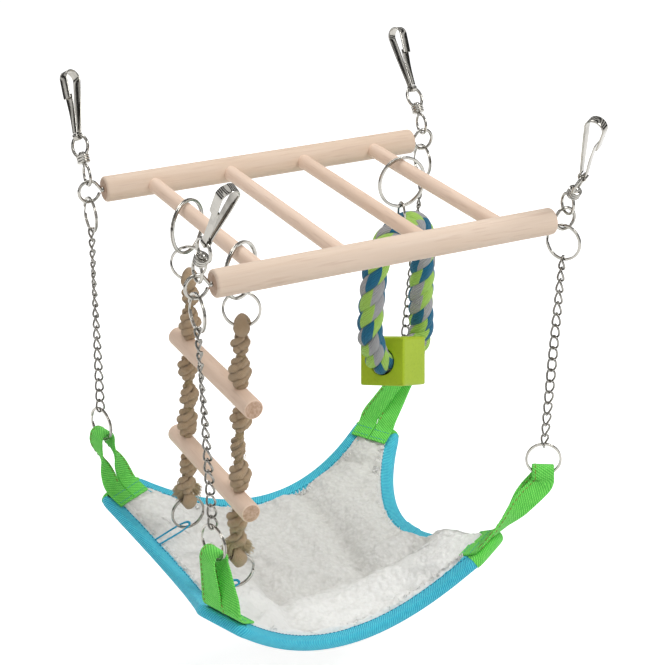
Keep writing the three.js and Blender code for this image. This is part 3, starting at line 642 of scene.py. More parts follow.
class Effects:
    """Makes each shared shader group once."""

    @classmethod
    def group(cls, effect: Effect) -> NodeTree:
        """The group of an effect, built the first time it is asked for.

        Args:
            effect: The effect.

        Returns:
            The group.
        """
        found = bpy.data.node_groups.get(effect.value)
        if found:
            return found
        tree = bpy.data.node_groups.new(effect.value, "ShaderNodeTree")
        builders = (cls._grain, cls._weave, cls._lay, cls._handling)
        dict(zip(Effect, builders))[effect](tree)
        return tree

    @staticmethod
    def _sockets(tree: NodeTree, vectors: str, floats: str, outputs: str) -> tuple[Tree, Node, Node]:
        """Makes a group's sockets.

        Args:
            tree: The group.
            vectors: Names of its vector inputs.
            floats: Names of its inputs that are plain numbers.
            outputs: Names of its outputs, all of them plain numbers.

        Returns:
            The helper, the input node and the output node.
        """
        for names, way, kind in (
            (vectors, "INPUT", "NodeSocketVector"),
            (floats, "INPUT", "NodeSocketFloat"),
            (outputs, "OUTPUT", "NodeSocketFloat"),
        ):
            for name in names.split():
                tree.interface.new_socket(name=name, in_out=way, socket_type=kind)
        helper = Tree(tree)
        return helper, helper.add("NodeGroupInput"), helper.add("NodeGroupOutput")

    @classmethod
    def _grain(cls, tree: NodeTree) -> None:
        """Beech: broad bands, fine lines along the grain and short dark flecks.

        Args:
            tree: The group to fill.
        """
        t, given, made = cls._sockets(tree, "Vector Stretch", "", "Tone Fleck Height")
        along = t.stretched(given.outputs["Vector"], given.outputs["Stretch"])
        bands = t.noise(along, 30.0, 2.0, 0.5)
        lines = t.noise(along, 420.0, 4.0, 0.65)
        flecks = t.within(t.noise(along, 900.0, 1.0, 0.4), 0.60, 0.70, 0.0, 1.0)
        tone = t.sum("ADD", t.sum("MULTIPLY", bands, 0.55), t.sum("MULTIPLY", lines, 0.45))
        height = t.sum("SUBTRACT", lines, t.sum("MULTIPLY", flecks, 0.3))
        t.feed(made, Tone=tone, Fleck=flecks, Height=height)

    @classmethod
    def _weave(cls, tree: NodeTree) -> None:
        """Woven tape: ribs along and across it, each set offset by the other, with a little unevenness.

        Args:
            tree: The group to fill.
        """
        t, given, made = cls._sockets(tree, "Vector", "Along Across Slant", "Height Tone")
        u, v, _ = t.parts(given.outputs["Vector"])
        slanted = t.sum("MULTIPLY_ADD", v, given.outputs["Slant"], u)
        turn_u = t.sum("MULTIPLY", slanted, t.sum("MULTIPLY", given.outputs["Along"], 2 * pi))
        turn_v = t.sum("MULTIPLY", v, t.sum("MULTIPLY", given.outputs["Across"], 2 * pi))
        rib_u = t.sum("MULTIPLY_ADD", t.sum("SINE", turn_u), 0.5, 0.5)
        rib_v = t.sum("MULTIPLY_ADD", t.sum("SINE", turn_v), 0.5, 0.5)
        cloth = t.sum("MULTIPLY", t.sum("POWER", rib_u, 0.7), t.sum("MULTIPLY_ADD", rib_v, 0.5, 0.5))
        uneven = t.noise(given.outputs["Vector"], 0.35, 3.0, 0.6)
        t.feed(made, Height=cloth, Tone=t.sum("MULTIPLY_ADD", cloth, 0.6, t.sum("MULTIPLY", uneven, 0.4)))

    @classmethod
    def _lay(cls, tree: NodeTree) -> None:
        """Yarns laid round a strand: slanted ridges broken up by fine fibre.

        Args:
            tree: The group to fill.
        """
        t, given, made = cls._sockets(tree, "Vector", "Yarn Slant", "Height Fuzz")
        u, v, _ = t.parts(given.outputs["Vector"])
        slanted = t.sum("MULTIPLY_ADD", u, given.outputs["Slant"], v)
        ridge = t.sum("SINE", t.sum("MULTIPLY", slanted, t.sum("DIVIDE", 2 * pi, given.outputs["Yarn"])))
        fuzz = t.noise(t.stretched(given.outputs["Vector"], (0.45, 1.7, 1.0)), 1.7, 4.0, 0.7)
        t.feed(made, Height=t.sum("MULTIPLY_ADD", ridge, 0.3, fuzz), Fuzz=fuzz)

    @classmethod
    def _handling(cls, tree: NodeTree) -> None:
        """Plated wire: faint haze and fine draw lines that roughen it unevenly.

        Args:
            tree: The group to fill.
        """
        t, given, made = cls._sockets(tree, "Vector", "Least Most", "Rough Haze")
        haze = t.noise(given.outputs["Vector"], 160.0, 3.0, 0.6)
        fine = t.noise(given.outputs["Vector"], 1800.0, 2.0, 0.6)
        both = t.sum("MULTIPLY_ADD", fine, 0.35, t.sum("MULTIPLY", haze, 0.65))
        span = t.sum("SUBTRACT", given.outputs["Most"], given.outputs["Least"])
        t.feed(made, Rough=t.sum("MULTIPLY_ADD", both, span, given.outputs["Least"]), Haze=haze)


# Finishes


@dataclass(frozen=True)
class Finish:
    """A named finish, made into a material the first time it is used."""

    name: str

    def material(self) -> bpy.types.Material:
        """The finish's material.

        Returns:
            The material.
        """
        found = bpy.data.materials.get(self.name)
        if found:
            return found
        material = bpy.data.materials.new(self.name)
        material.use_nodes = True
        self.dress(Tree(material.node_tree), material.node_tree.nodes["Principled BSDF"])
        return material

    def dress(self, tree: Tree, shader: Node) -> None:
        """Joins the finish's nodes to the shader."""
        raise NotImplementedError

    @staticmethod
    def effect(tree: Tree, effect: Effect, vector: object, **values: object) -> Sequence[Socket]:
        """Places a shared group.

        Args:
            tree: The material's nodes.
            effect: The group's effect.
            vector: Where the effect is taken.
            values: The group's other inputs.

        Returns:
            The group's outputs.
        """
        node = tree.add("ShaderNodeGroup", node_tree=Effects.group(effect))
        return tree.feed(node, Vector=vector, **values).outputs

    @staticmethod
    def relief(tree: Tree, height: object, depth: float, strength: float) -> Socket:
        """A normal from a height; the depth is in metres."""
        node = tree.add("ShaderNodeBump")
        return tree.feed(node, Strength=strength, Distance=depth, Height=height).outputs[0]


@dataclass(frozen=True)
class Wood(Finish):
    """Bare sanded wood, its grain along one axis."""

    light: tuple
    dark: tuple
    fleck: tuple
    stretch: tuple
    rough: float = 0.62
    end: tuple = tint(182, 146, 120)

    def dress(self, tree: Tree, shader: Node) -> None:
        """Grain from two colours, with darker flecks and a slight relief.

        Args:
            tree: The material's nodes.
            shader: Its shader.
        """
        grain = self.effect(tree, Effect.GRAIN, tree.place("Object"), Stretch=self.stretch)
        base = tree.blend(tree.within(grain["Tone"], 0.32, 0.68, 0.0, 1.0), self.dark, self.light)
        spotted = tree.blend(tree.sum("MULTIPLY", grain["Fleck"], 0.3), base, self.fleck)
        rings = tree.within(tree.noise(tree.place("Object"), 700.0), 0.35, 0.65, 0.95, 0.45)
        colour = tree.blend(tree.sum("MULTIPLY", tree.tone(), rings), spotted, self.end)
        rough = tree.within(grain["Tone"], 0.2, 0.8, self.rough + 0.06, self.rough - 0.06)
        normal = self.relief(tree, grain["Height"], 0.00015, 0.35)
        tree.feed(shader, Base_Color=colour, Roughness=rough, Specular_IOR_Level=0.35, Normal=normal)


@dataclass(frozen=True)
class Plated(Finish):
    """Bright nickel plate."""

    colour: tuple
    dull: tuple
    least: float
    most: float

    def dress(self, tree: Tree, shader: Node) -> None:
        """Metal with an uneven haze.

        Args:
            tree: The material's nodes.
            shader: Its shader.
        """
        marks = self.effect(tree, Effect.HANDLING, tree.place("Object"), Least=self.least, Most=self.most)
        colour = tree.blend(tree.within(marks["Haze"], 0.45, 0.75, 0.0, 0.6), self.colour, self.dull)
        tree.feed(shader, Base_Color=colour, Roughness=marks["Rough"], Metallic=1.0)


@dataclass(frozen=True)
class Pile(Finish):
    """Curly fleece, with painted shade between its tufts."""

    crest: tuple
    hollow: tuple

    def dress(self, tree: Tree, shader: Node) -> None:
        """Colour by the height of the pile and the piece's tone, painted shade in the hollows and painted light on
        the crests, with a fine fibre relief and a soft sheen.

        Args:
            tree: The material's nodes.
            shader: Its shader.
        """
        place = tree.place("Object")
        curl = tree.feed(tree.add("ShaderNodeTexVoronoi", feature="SMOOTH_F1"), Vector=place, Scale=520.0)
        crown = tree.within(curl.outputs["Distance"], 0.1, 0.75, 1.0, 0.0)
        curls = tree.sum("ADD", crown, tree.noise(place, 1300.0, 4.0, 0.7))
        # Painted light and shade: the share runs from the shaded hollow colour to the lit crest colour.
        share = tree.sum("MULTIPLY_ADD", curls, 0.15, tree.sum("MULTIPLY_ADD", tree.tone(), 0.6, 0.27))
        colour = tree.blend(tree.within(share, 0.2, 0.95, 0.0, 1.0), self.hollow, self.crest)
        normal = self.relief(tree, curls, 0.0008, 0.55)
        tree.feed(shader, Base_Color=colour, Roughness=1.0, Specular_IOR_Level=0.1, Normal=normal)
        tree.feed(shader, Sheen_Weight=0.3, Sheen_Roughness=0.6)


@dataclass(frozen=True)
class Woven(Finish):
    """Woven tape or webbing, its ribs set by its UV in millimetres."""

    light: tuple
    dark: tuple
    along: float
    across: float
    slant: float
    depth: float

    def dress(self, tree: Tree, shader: Node) -> None:
        """Ribs in colour and relief.

        Args:
            tree: The material's nodes.
            shader: Its shader.
        """
        values = {"Along": self.along, "Across": self.across, "Slant": self.slant}
        weave = self.effect(tree, Effect.WEAVE, tree.place("UV"), **values)
        colour = tree.blend(tree.within(weave["Tone"], 0.15, 0.75, 0.0, 1.0), self.dark, self.light)
        normal = self.relief(tree, weave["Height"], self.depth, 0.7)
        tree.feed(shader, Base_Color=colour, Normal=normal)
        tree.feed(shader, Roughness=0.78, Specular_IOR_Level=0.3, Sheen_Weight=0.15)


@dataclass(frozen=True)
class Laid(Finish):
    """Rope yarn of one colour, or of several that run as stripes along each strand, with painted shade where the
    strands meet.
    """

    colours: tuple
    darks: tuple
    yarn: float
    slant: float
    depth: float
    girth: float = 1.0
    turn: float = 1.0
    groove_shade: float = 0.0

    def dress(self, tree: Tree, shader: Node) -> None:
        """Yarn ridges in colour and relief, with each stripe's own colour and painted shade between the strands.

        Args:
            tree: The material's nodes.
            shader: Its shader.
        """
        lay = self.effect(tree, Effect.LAY, tree.place("UV"), Yarn=self.yarn, Slant=self.slant)
        share = tree.within(lay["Height"], 0.15, 0.85, 0.0, 1.0)
        colour: object = tree.blend(share, self.darks[0], self.colours[0])
        for k in range(1, len(self.colours)):
            other = tree.blend(share, self.darks[k], self.colours[k])
            beyond = tree.sum("GREATER_THAN", self.stripe(tree), k / len(self.colours))
            colour = tree.blend(beyond, colour, other)
        # Painted shade: the colour darkens towards near black down between the strands.
        if self.groove_shade:
            shade = tree.sum("MULTIPLY", self.depth_between(tree), self.groove_shade)
            colour = tree.blend(shade, colour, tint(40, 38, 34))
        tree.feed(shader, Base_Color=colour, Normal=self.relief(tree, lay["Height"], self.depth, 0.6))
        tree.feed(shader, Roughness=0.95, Specular_IOR_Level=0.15, Sheen_Weight=0.2)

    def depth_between(self, tree: Tree) -> Socket:
        """How far a place lies down between two strands: nought on a strand's crown, one where they meet; it sets
        where the painted shade falls.
        """
        _, v, _ = tree.parts(tree.place("UV"))
        outward = tree.sum("COSINE", tree.sum("MULTIPLY", v, 2 * pi / self.girth))
        return tree.within(tree.sum("MULTIPLY", outward, -1.0), -0.45, 0.15, 0.0, 1.0)

    def stripe(self, tree: Tree) -> Socket:
        """Share of the way round the strand's own twist: the part after the point of u / turn + v / girth."""
        u, v, _ = tree.parts(tree.place("UV"))
        start = tree.sum("MULTIPLY_ADD", v, 1.0 / self.girth, tree.tone())
        return tree.sum("FRACT", tree.sum("MULTIPLY_ADD", u, 1.0 / self.turn, start))


BEECH_LIGHT = tint(235, 214, 195)
BEECH_DARK = tint(221, 195, 171)
BEECH_FLECK = tint(206, 176, 155)
RAIL_WOOD = Wood("rail_beech", BEECH_LIGHT, BEECH_DARK, BEECH_FLECK, (0.06, 1.0, 1.0))
RUNG_WOOD = Wood("rung_beech", tint(242, 217, 197), tint(228, 199, 175), BEECH_FLECK, (1.0, 0.06, 1.0))
BLOCK_PAINT = Wood("block_stain", tint(180, 204, 38), tint(166, 193, 32), tint(142, 170, 26), (0.3, 1.0, 1.0), 0.5)
NICKEL = Plated("bright_nickel", tint(182, 179, 172), tint(132, 129, 123), 0.1, 0.2)
# Painted shade: the chain's plating is a darker copy of the bright nickel, standing in for its darker reflections.
SHADED_CHAIN_NICKEL = Plated("shaded_chain_nickel", tint(154, 151, 145), tint(98, 95, 90), 0.12, 0.26)
# The fleece's lit crest colour and its painted shade colour in the hollows.
FLEECE = Pile("curly_fleece", tint(252, 252, 250), tint(186, 184, 178))
BINDING = Woven("blue_binding", tint(100, 240, 255), tint(32, 166, 214), 0.85, 1.6, 0.35, 0.0006)
WEBBING = Woven("green_webbing", tint(142, 252, 112), tint(72, 200, 64), 0.7, 0.9, 0.6, 0.0006)
JUTE_LIGHT, JUTE_DARK = tint(226, 199, 164), tint(164, 137, 107)
# The last number of JUTE, JUTE_KNOT and TOY_YARN is the strength of the painted shade between strands.
JUTE = Laid("jute", (JUTE_LIGHT,), (JUTE_DARK,), 0.7, 0.6, 0.0007, 7.8, groove_shade=0.45)
JUTE_KNOT = Laid("jute_knot", (JUTE_LIGHT,), (JUTE_DARK,), 0.75, 0.9, 0.0016, 14.0, groove_shade=0.4)
JUTE_EYE = Laid("jute_eye", (JUTE_LIGHT,), (JUTE_DARK,), 0.75, 0.9, 0.0016)
FRAY = Laid("jute_fray", (tint(226, 207, 170),), (tint(186, 164, 126),), 0.7, 0.6, 0.0004)
TOY_COLOURS = (tint(46, 132, 168), tint(198, 240, 124), tint(200, 200, 202))
TOY_DARKS = (tint(24, 92, 128), tint(148, 198, 76), tint(146, 146, 150))
TOY_YARN = Laid("toy_yarn", TOY_COLOURS, TOY_DARKS, 1.1, 0.25, 0.0012, 25.0, 20.0, 0.8)
BLUE_THREAD = Laid("blue_thread", (tint(48, 180, 218),), (tint(20, 140, 180),), 0.4, 0.8, 0.0002)
HEM_THREAD = Laid("hem_thread", (tint(30, 150, 192),), (tint(16, 118, 158),), 0.4, 0.8, 0.0002)
TAN_THREAD = Laid("tan_thread", (tint(176, 172, 84),), (tint(120, 132, 52),), 0.4, 0.8, 0.0002)


# Pieces


def placed(points: Array) -> list:
    """Points of the bridge's frame in metres, in the part's frame."""
    return ((points - LEVELS.hang * UP) * MM).tolist()


def make_piece(
    name: str,
    surface: Surface,
    finish: Finish,
    body: str,
    nodes: Sequence[str] = (),
    crease: float = 38.0,
) -> Piece:
    """Puts a surface into the scene as one piece that rides on a body.

    Args:
        name: The piece's name.
        surface: Its points and faces, in the bridge's frame.
        finish: Its finish.
        body: The body that it rides on.
        nodes: CAD nodes that it takes the place of.
        crease: Degrees past which an edge is sharp.

    Returns:
        The new object.
    """
    mesh = bpy.data.meshes.new(name)
    mesh.from_pydata(placed(surface.points), [], surface.quads.tolist() + surface.tris.tolist())
    uv = np.concatenate([surface.quad_uv.reshape(-1, 2), surface.tri_uv.reshape(-1, 2)])
    mesh.uv_layers.new(name="flat").data.foreach_set("uv", uv.astype(np.float32).ravel())
    tone = mesh.attributes.new("tone", "FLOAT", "POINT")
    tone.data.foreach_set("value", surface.tones().astype(np.float32))
    mesh.shade_smooth()
    mesh.set_sharp_from_angle(angle=radians(crease))
    mesh.materials.append(finish.material())
    piece = bpy.data.objects.new(name, mesh)
    bpy.context.scene.collection.objects.link(piece)
    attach(piece, body)
    if nodes:
        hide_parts(*nodes)
    log.info("%s: %d faces on %s", name, len(mesh.polygons), body)
    return piece


@dataclass(frozen=True)
class Corner:
    """One corner: its signs, its rings' yaws, its hook's spin and tilt, and its chain's pull along X."""

    name: str
    x: int
    y: int
    upper_yaw: float
    lower_yaw: float
    spin: float
    tilt: float
    pull: float


CORNERS = (
    Corner("front_left", -1, -1, 0, 15, 190, -7, 4.5),
    Corner("front_right", 1, -1, 30, 60, 303, -11, -5),
    Corner("back_right", 1, 1, 0, 15, 288, -1, -10),
    Corner("back_left", -1, 1, 0, 15, 208, -8, -1),
)


@dataclass(frozen=True)
class RingSize:
    """Outside diameter of a split ring, and the width and depth of its flat wire."""

    diameter: float
    width: float
    depth: float
    gap: float = 0.45

    @property
    def inner(self) -> float:
        """Radius of the hole."""
        return self.diameter / 2 - self.depth

    @property
    def middle(self) -> float:
        """Radius of the middle of the wire."""
        return self.diameter / 2 - self.depth / 2

    @property
    def clear(self) -> float:
        """Radius that the CAD ring's flats leave free."""
        return self.inner * cos(radians(15))

    def surface(self, centre: Array, yaw: float) -> Surface:
        """Two turns of flat wire, stepping from one plane to the other after the first turn.

        Args:
            centre: The ring's centre.
            yaw: Turn of its axis from +X.

        Returns:
            The ring.
        """
        angle = np.linspace(12.0, 708.0, 232)
        share = smoothstep(angle, 336.0, 384.0)[:, None]
        axis, flat = heading(yaw), heading(yaw + 90)
        out = between(np.radians(angle), flat, UP)
        line = centre + (share - 0.5) * (self.width + self.gap * 0.45) * axis + self.middle * out
        section = flat_section(self.width, self.depth, self.width * 0.36, 3)
        return swept(line, axis, out, section)


SMALL_RING = RingSize(20, 0.65, 1.3)
LARGE_RING = RingSize(30, 0.8, 1.6)


@dataclass(frozen=True)
class Levels:
    """Heights and places that the sub-assemblies share, from the rails' centre plane."""

    rail_y: float = 75.0
    eye_x: float = 103.2
    eye_radius: float = 5.8
    eye_wire: float = 1.8
    clearance: float = 0.4
    first_rung: float = -67.5
    last_rung: float = 67.5
    hook_lean: float = 33.0
    hook_bearing: float = 62.6
    link_wire: float = 1.0
    link_length: float = 7.35
    link_pitch: float = 6.5
    links: int = 17
    corner_drop: float = 42.0

    @property
    def hang(self) -> float:
        """Rails' centre plane to the level where the hooks bear."""
        return self.eye_radius + self.hook_bearing * cos(radians(self.hook_lean))

    @property
    def upper_ring(self) -> float:
        """Centre of an upper ring."""
        return -self.eye_radius + self.eye_wire / 2 + self.clearance - SMALL_RING.inner

    @property
    def chain_top(self) -> float:
        """Middle of the top bend of a chain."""
        return self.upper_ring - SMALL_RING.inner + self.clearance + self.link_wire / 2

    @property
    def chain_bottom(self) -> float:
        """Middle of the bottom bend of a chain."""
        return self.chain_top - (self.links - 1) * self.link_pitch - self.link_length

    @property
    def lower_ring(self) -> float:
        """Centre of a lower ring."""
        return self.chain_bottom + self.link_wire / 2 + self.clearance - SMALL_RING.inner

    @property
    def corner(self) -> float:
        """Level of the hammock's corners."""
        return self.lower_ring - self.corner_drop

    def chain_ends(self, corner: Corner) -> tuple[Array, Array, Array]:
        """Where a corner's chain hangs, its turn out of the upright, and the centre of its lower ring.

        Args:
            corner: The corner.

        Returns:
            The place, the turn as a matrix, and the centre.
        """
        top = np.array([corner.x * self.eye_x, corner.y * self.rail_y, self.upper_ring - SMALL_RING.middle])
        reach = self.upper_ring - self.lower_ring - 2 * SMALL_RING.middle
        leaning = turned_about("y", -degrees(asin(corner.pull / reach)))
        return top, leaning, top - leaning @ (reach * UP) - SMALL_RING.middle * UP


LEVELS = Levels()


@dataclass
class WoodenBridge:
    """Two rails, four rungs and four screw eyes."""

    rail_length: float = 190.0
    rail_diameter: float = 14.0
    end_round: float = 1.5
    rung_diameter: float = 8.0
    rung_half: float = 74.7
    rung_round: float = 0.5
    rung_count: int = 4
    shank_depth: float = 11.0

    def build(self) -> None:
        """Makes the rails, the rungs and the eyes."""
        for name, side in (("front_rail", -1), ("back_rail", 1)):
            middle = np.array([0.0, side * LEVELS.rail_y, 0.0])
            rail = round_bar(self.rail_diameter / 2, self.rail_length / 2, self.end_round, middle, RIGHT, 72)
            make_piece(f"{name}_turned", rail, RAIL_WOOD, "bridge", [name])
        for k, x in enumerate(np.linspace(LEVELS.first_rung, LEVELS.last_rung, self.rung_count)):
            rung = round_bar(self.rung_diameter / 2, self.rung_half, self.rung_round, x * RIGHT, BACK, 48)
            make_piece(f"rung_{k + 1}_turned", rung, RUNG_WOOD, "bridge", [f"rung_{k + 1}"])
        for corner in CORNERS:
            self.eye(corner)

    def eye(self, corner: Corner) -> None:
        """Makes one screw eye: a wire bent into a ring that runs out into its shank.

        Args:
            corner: The corner that it is at.
        """
        centre = np.array([corner.x * LEVELS.eye_x, corner.y * LEVELS.rail_y, 0.0])
        inward = -corner.x * RIGHT
        ring = centre + LEVELS.eye_radius * between(np.radians(np.linspace(14.0, 346.0, 72)), inward, UP)
        reach = LEVELS.eye_x - self.rail_length / 2
        neck = centre + inward * np.array([LEVELS.eye_radius + 1.2, reach - 0.5, reach + self.shank_depth])[:, None]
        line = np.vstack([respaced(neck[::-1], 12), smooth_line([neck[0], ring[2], ring[8]], 6)[1:-1], ring[8:]])
        bent = wire(line, LEVELS.eye_wire, BACK)
        foot = centre + inward * (LEVELS.eye_radius + 0.5)
        collar = turned([(0.9, 0.0), (1.25, 0.6), (1.25, 3.4), (1.0, 4.2)], foot, inward, 20)
        name = f"screw_eye_{corner.name}"
        make_piece(f"{name}_bent", together([bent, collar]), NICKEL, "bridge", [name])


@dataclass
class SnapHook:
    """One swivel snap hook: loop on the eye, bail with its barrel, sprung hook and gate."""

    corner: Corner
    loop_wire: float = 1.6
    loop_width: float = 12.2
    loop_low: float = -2.1
    loop_high: float = 9.1
    barrel_low: float = 10.2
    barrel_high: float = 15.0
    barrel_radius: float = 3.7
    pin_radius: float = 1.1
    bail_wire: float = 1.8
    bail_width: float = 13.4
    bail_low: float = 14.1
    bail_high: float = 25.7
    strip: float = 0.9
    top_width: float = 5.4
    curl_width: float = 3.4
    curl_radius: float = 2.05
    curl_start: float = 20.0
    curl_sweep: float = 250.0
    top_radius: float = 4.85
    rise: float = 32.5
    nose_length: float = 11.5
    nose_reach: float = 3.9
    gate: float = 0.6
    gate_lap: float = 2.2

    def build(self) -> None:
        """Makes the four pieces on the hook's leaning axis."""
        name = self.corner.name
        lean = turned_about("x", -self.corner.y * LEVELS.hook_lean)
        origin = np.array([self.corner.x * LEVELS.eye_x, self.corner.y * LEVELS.rail_y, LEVELS.eye_radius])
        spun = lean @ turned_about("z", self.corner.spin)
        tilted = spun @ turned_about("y", self.corner.tilt)
        head = origin + spun @ np.array([0.0, 0.0, self.bail_high])
        pieces = (
            ("swivel_loop", self.loop(), lean, origin),
            ("swivel_bail", self.bail(), spun, origin),
            ("snap_hook", self.hook(), tilted, head),
            ("hook_gate", self.leaf(), tilted, head),
        )
        for kind, surface, rotation, place in pieces:
            node = f"{kind}_{name}"
            make_piece(f"{node}_formed", surface.moved(rotation, place), NICKEL, node, [node])

    def loop(self) -> Surface:
        """Oval loop of wire, with the pin and rivet head of the swivel on top.

        Returns:
            Loop and pin.
        """
        middle = (self.loop_low + self.loop_high) / 2
        line = oval_line(middle * UP, BACK, UP, (self.loop_width - self.loop_wire) / 2, self.loop_high - middle, 64)
        ring = wire(line, self.loop_wire, RIGHT, True)
        head, low = self.barrel_high + 0.3, self.loop_high - 0.8
        dome = [(2.0, 0.0), (2.0, 0.5), (1.8, 0.95), (1.3, 1.3), (0.6, 1.5), (0.0, 1.5)]
        shank = [(0.0, low), (self.pin_radius, low), (self.pin_radius, head)]
        return together([ring, turned(shank + [(r, head + h) for r, h in dome], np.zeros(3), UP, 28)])

    def bail(self) -> Surface:
        """Oval bail of wire that runs down into two wraps of wire round the barrel.

        Returns:
            Bail and barrel.
        """
        middle = (self.bail_low + self.bail_high) / 2
        line = oval_line(middle * UP, BACK, UP, (self.bail_width - self.bail_wire) / 2, self.bail_high - middle, 64)
        ring = wire(line, self.bail_wire, RIGHT, True)
        low, high, outer = self.barrel_low, self.barrel_high, self.barrel_radius
        wave = np.linspace(low, high, 34)
        wraps = outer - 0.45 * np.abs(np.sin((wave - low) / (high - low) * 3 * pi + pi / 2)) ** 3
        ends = np.clip(np.minimum(wave - low, high - wave) / 0.5, 0.0, 1.0)
        radius = wraps - 0.5 * (1 - np.sqrt(1 - (1 - ends) ** 2))
        barrel = turned(np.stack([radius, wave], axis=1), np.zeros(3), UP, 36)
        return together([ring, barrel])

    def strip_width(self, height: Array) -> Array:
        """Width of the hook's strip at a height above the curl."""
        return self.curl_width + (self.top_width - self.curl_width) * smoothstep(height, -1.0, self.rise * 0.8)

    def ribbon(self, flat: Array, thickness: float) -> Surface:
        """A bent strip in the XZ plane, its width along Y.

        Args:
            flat: X and Z of the strip's middle line.
            thickness: The strip's thickness.

        Returns:
            The strip.
        """
        line = np.stack([flat[:, 0], np.zeros(len(flat)), flat[:, 1]], axis=1)
        along = travel(line)
        through = np.stack([along[:, 2], np.zeros(len(flat)), -along[:, 0]], axis=1)
        base = flat_section(1.0, thickness, thickness * 0.42, 3)
        widths = self.strip_width(flat[:, 1])[:, None]
        edge = np.sign(base[None, :, 0]) * (widths / 2 - 0.5) + base[None, :, 0]
        section = np.stack([edge, np.broadcast_to(base[None, :, 1], edge.shape)], axis=-1)
        return swept(line, BACK, through, section)

    def hook(self) -> Surface:
        """Curl round the bail, straight back, rounded top and nose, as one strip.

        Returns:
            The strip.
        """
        curl = np.radians(self.curl_start - self.curl_sweep * np.linspace(0.0, 1.0, 40))
        first = self.curl_radius * rays(curl)
        bend = np.radians(np.linspace(180.0, 0.0, 40))
        top = self.top_radius * rays(bend) + np.array([0.0, self.rise])
        back = np.linspace(first[-1], top[0], 14)[1:-1]
        front = np.linspace(top[-1], (self.nose_reach, self.rise - self.nose_length), 10)[1:]
        return self.ribbon(np.vstack([first, back, top, front]), self.strip)

    def leaf(self) -> Surface:
        """Thin sprung leaf from the curl to the back of the nose.

        Returns:
            The leaf.
        """
        tip_x = self.nose_reach - self.strip / 2 - 0.3 - self.gate / 2
        root_x = self.curl_radius * cos(radians(self.curl_start)) - self.gate / 2
        root_z = self.curl_radius * sin(radians(self.curl_start)) + self.strip / 2 + 0.3
        tip_z = self.rise - self.nose_length + self.gate_lap
        middle = ((root_x + tip_x) / 2 - self.gate, (root_z + tip_z) / 2)
        flat = smooth_line([(root_x, root_z), middle, (tip_x - self.gate / 2, tip_z)], 14)
        return self.ribbon(flat, self.gate)


@dataclass
class CornerChain:
    """Upper ring, twisted-link chain and lower ring of one corner."""

    corner: Corner
    link_width: float = 5.4
    twist: float = 180.0

    def build(self) -> None:
        """Makes the two rings and the chain."""
        name = self.corner.name
        top, leaning, lower = LEVELS.chain_ends(self.corner)
        upper = np.array([top[0], top[1], LEVELS.upper_ring])
        rings = (("upper_ring", upper, self.corner.upper_yaw), ("lower_ring", lower, self.corner.lower_yaw))
        for kind, centre, yaw in rings:
            node = f"{kind}_{name}"
            make_piece(f"{node}_coiled", SMALL_RING.surface(centre, yaw), NICKEL, node, [node])
        span = self.corner.lower_yaw - self.corner.upper_yaw - 90 + self.twist
        turns = self.corner.upper_yaw + span * np.arange(LEVELS.links) / (LEVELS.links - 1)
        links = [self.link(LEVELS.chain_top - k * LEVELS.link_pitch, turn) for k, turn in enumerate(turns)]
        chain = together(links).moved(leaning, top - leaning @ (top[2] * UP))
        make_piece(f"chain_{name}_linked", chain, SHADED_CHAIN_NICKEL, f"chain_{name}", [f"chain_{name}"])

    def link(self, top: float, yaw: float) -> Surface:
        """One link: a squarish oval whose plane turns a quarter turn from its top to its bottom.

        Args:
            top: Height of its top bend.
            yaw: Turn of its plane there.

        Returns:
            The link.
        """
        t = np.linspace(0.0, 2 * pi, 44, endpoint=False)
        reach = (self.link_width - LEVELS.link_wire) / 2
        half = LEVELS.link_length / 2
        x = reach * np.sign(np.cos(t)) * np.abs(np.cos(t)) ** 0.75
        z = top - half + half * np.sign(np.sin(t)) * np.abs(np.sin(t)) ** 0.75
        turn = np.radians(yaw + 90 * (top - z) / LEVELS.link_length)
        line = np.stack([x * np.cos(turn), x * np.sin(turn), z], axis=1)
        return wire(line, LEVELS.link_wire * 1.18, line - np.array([0.0, 0.0, top - half]), True, 10)


@dataclass(frozen=True)
class Side:
    """How far the middle of one side of the hammock is drawn in, and how far it hangs."""

    inset: float
    sag: float


@dataclass(frozen=True)
class Band:
    """A line with two directions at each of its points, as of an edge or a strap."""

    line: Array
    up: Array
    out: Array

    def part(self, chosen: Array) -> "Band":
        """The band at some of its points."""
        return Band(self.line[chosen], self.up[chosen], self.out[chosen])

    def closed(self) -> "Band":
        """The band with its first point repeated at its end."""
        return self.part(np.append(np.arange(len(self.line)), 0))

    def at(self, run: Array, wanted: Array) -> "Band":
        """The band at given distances along a line, straight between its points."""
        vectors = (self.line, self.up, self.out)
        return Band(*(np.stack([np.interp(wanted, run, v[:, k]) for k in range(3)], axis=1) for v in vectors))

    def swept(self, section: Array, closed: bool = False) -> Surface:
        """A profile carried along the band, its first axis out and its second up."""
        return swept(self.line, self.out, self.up, section, closed)


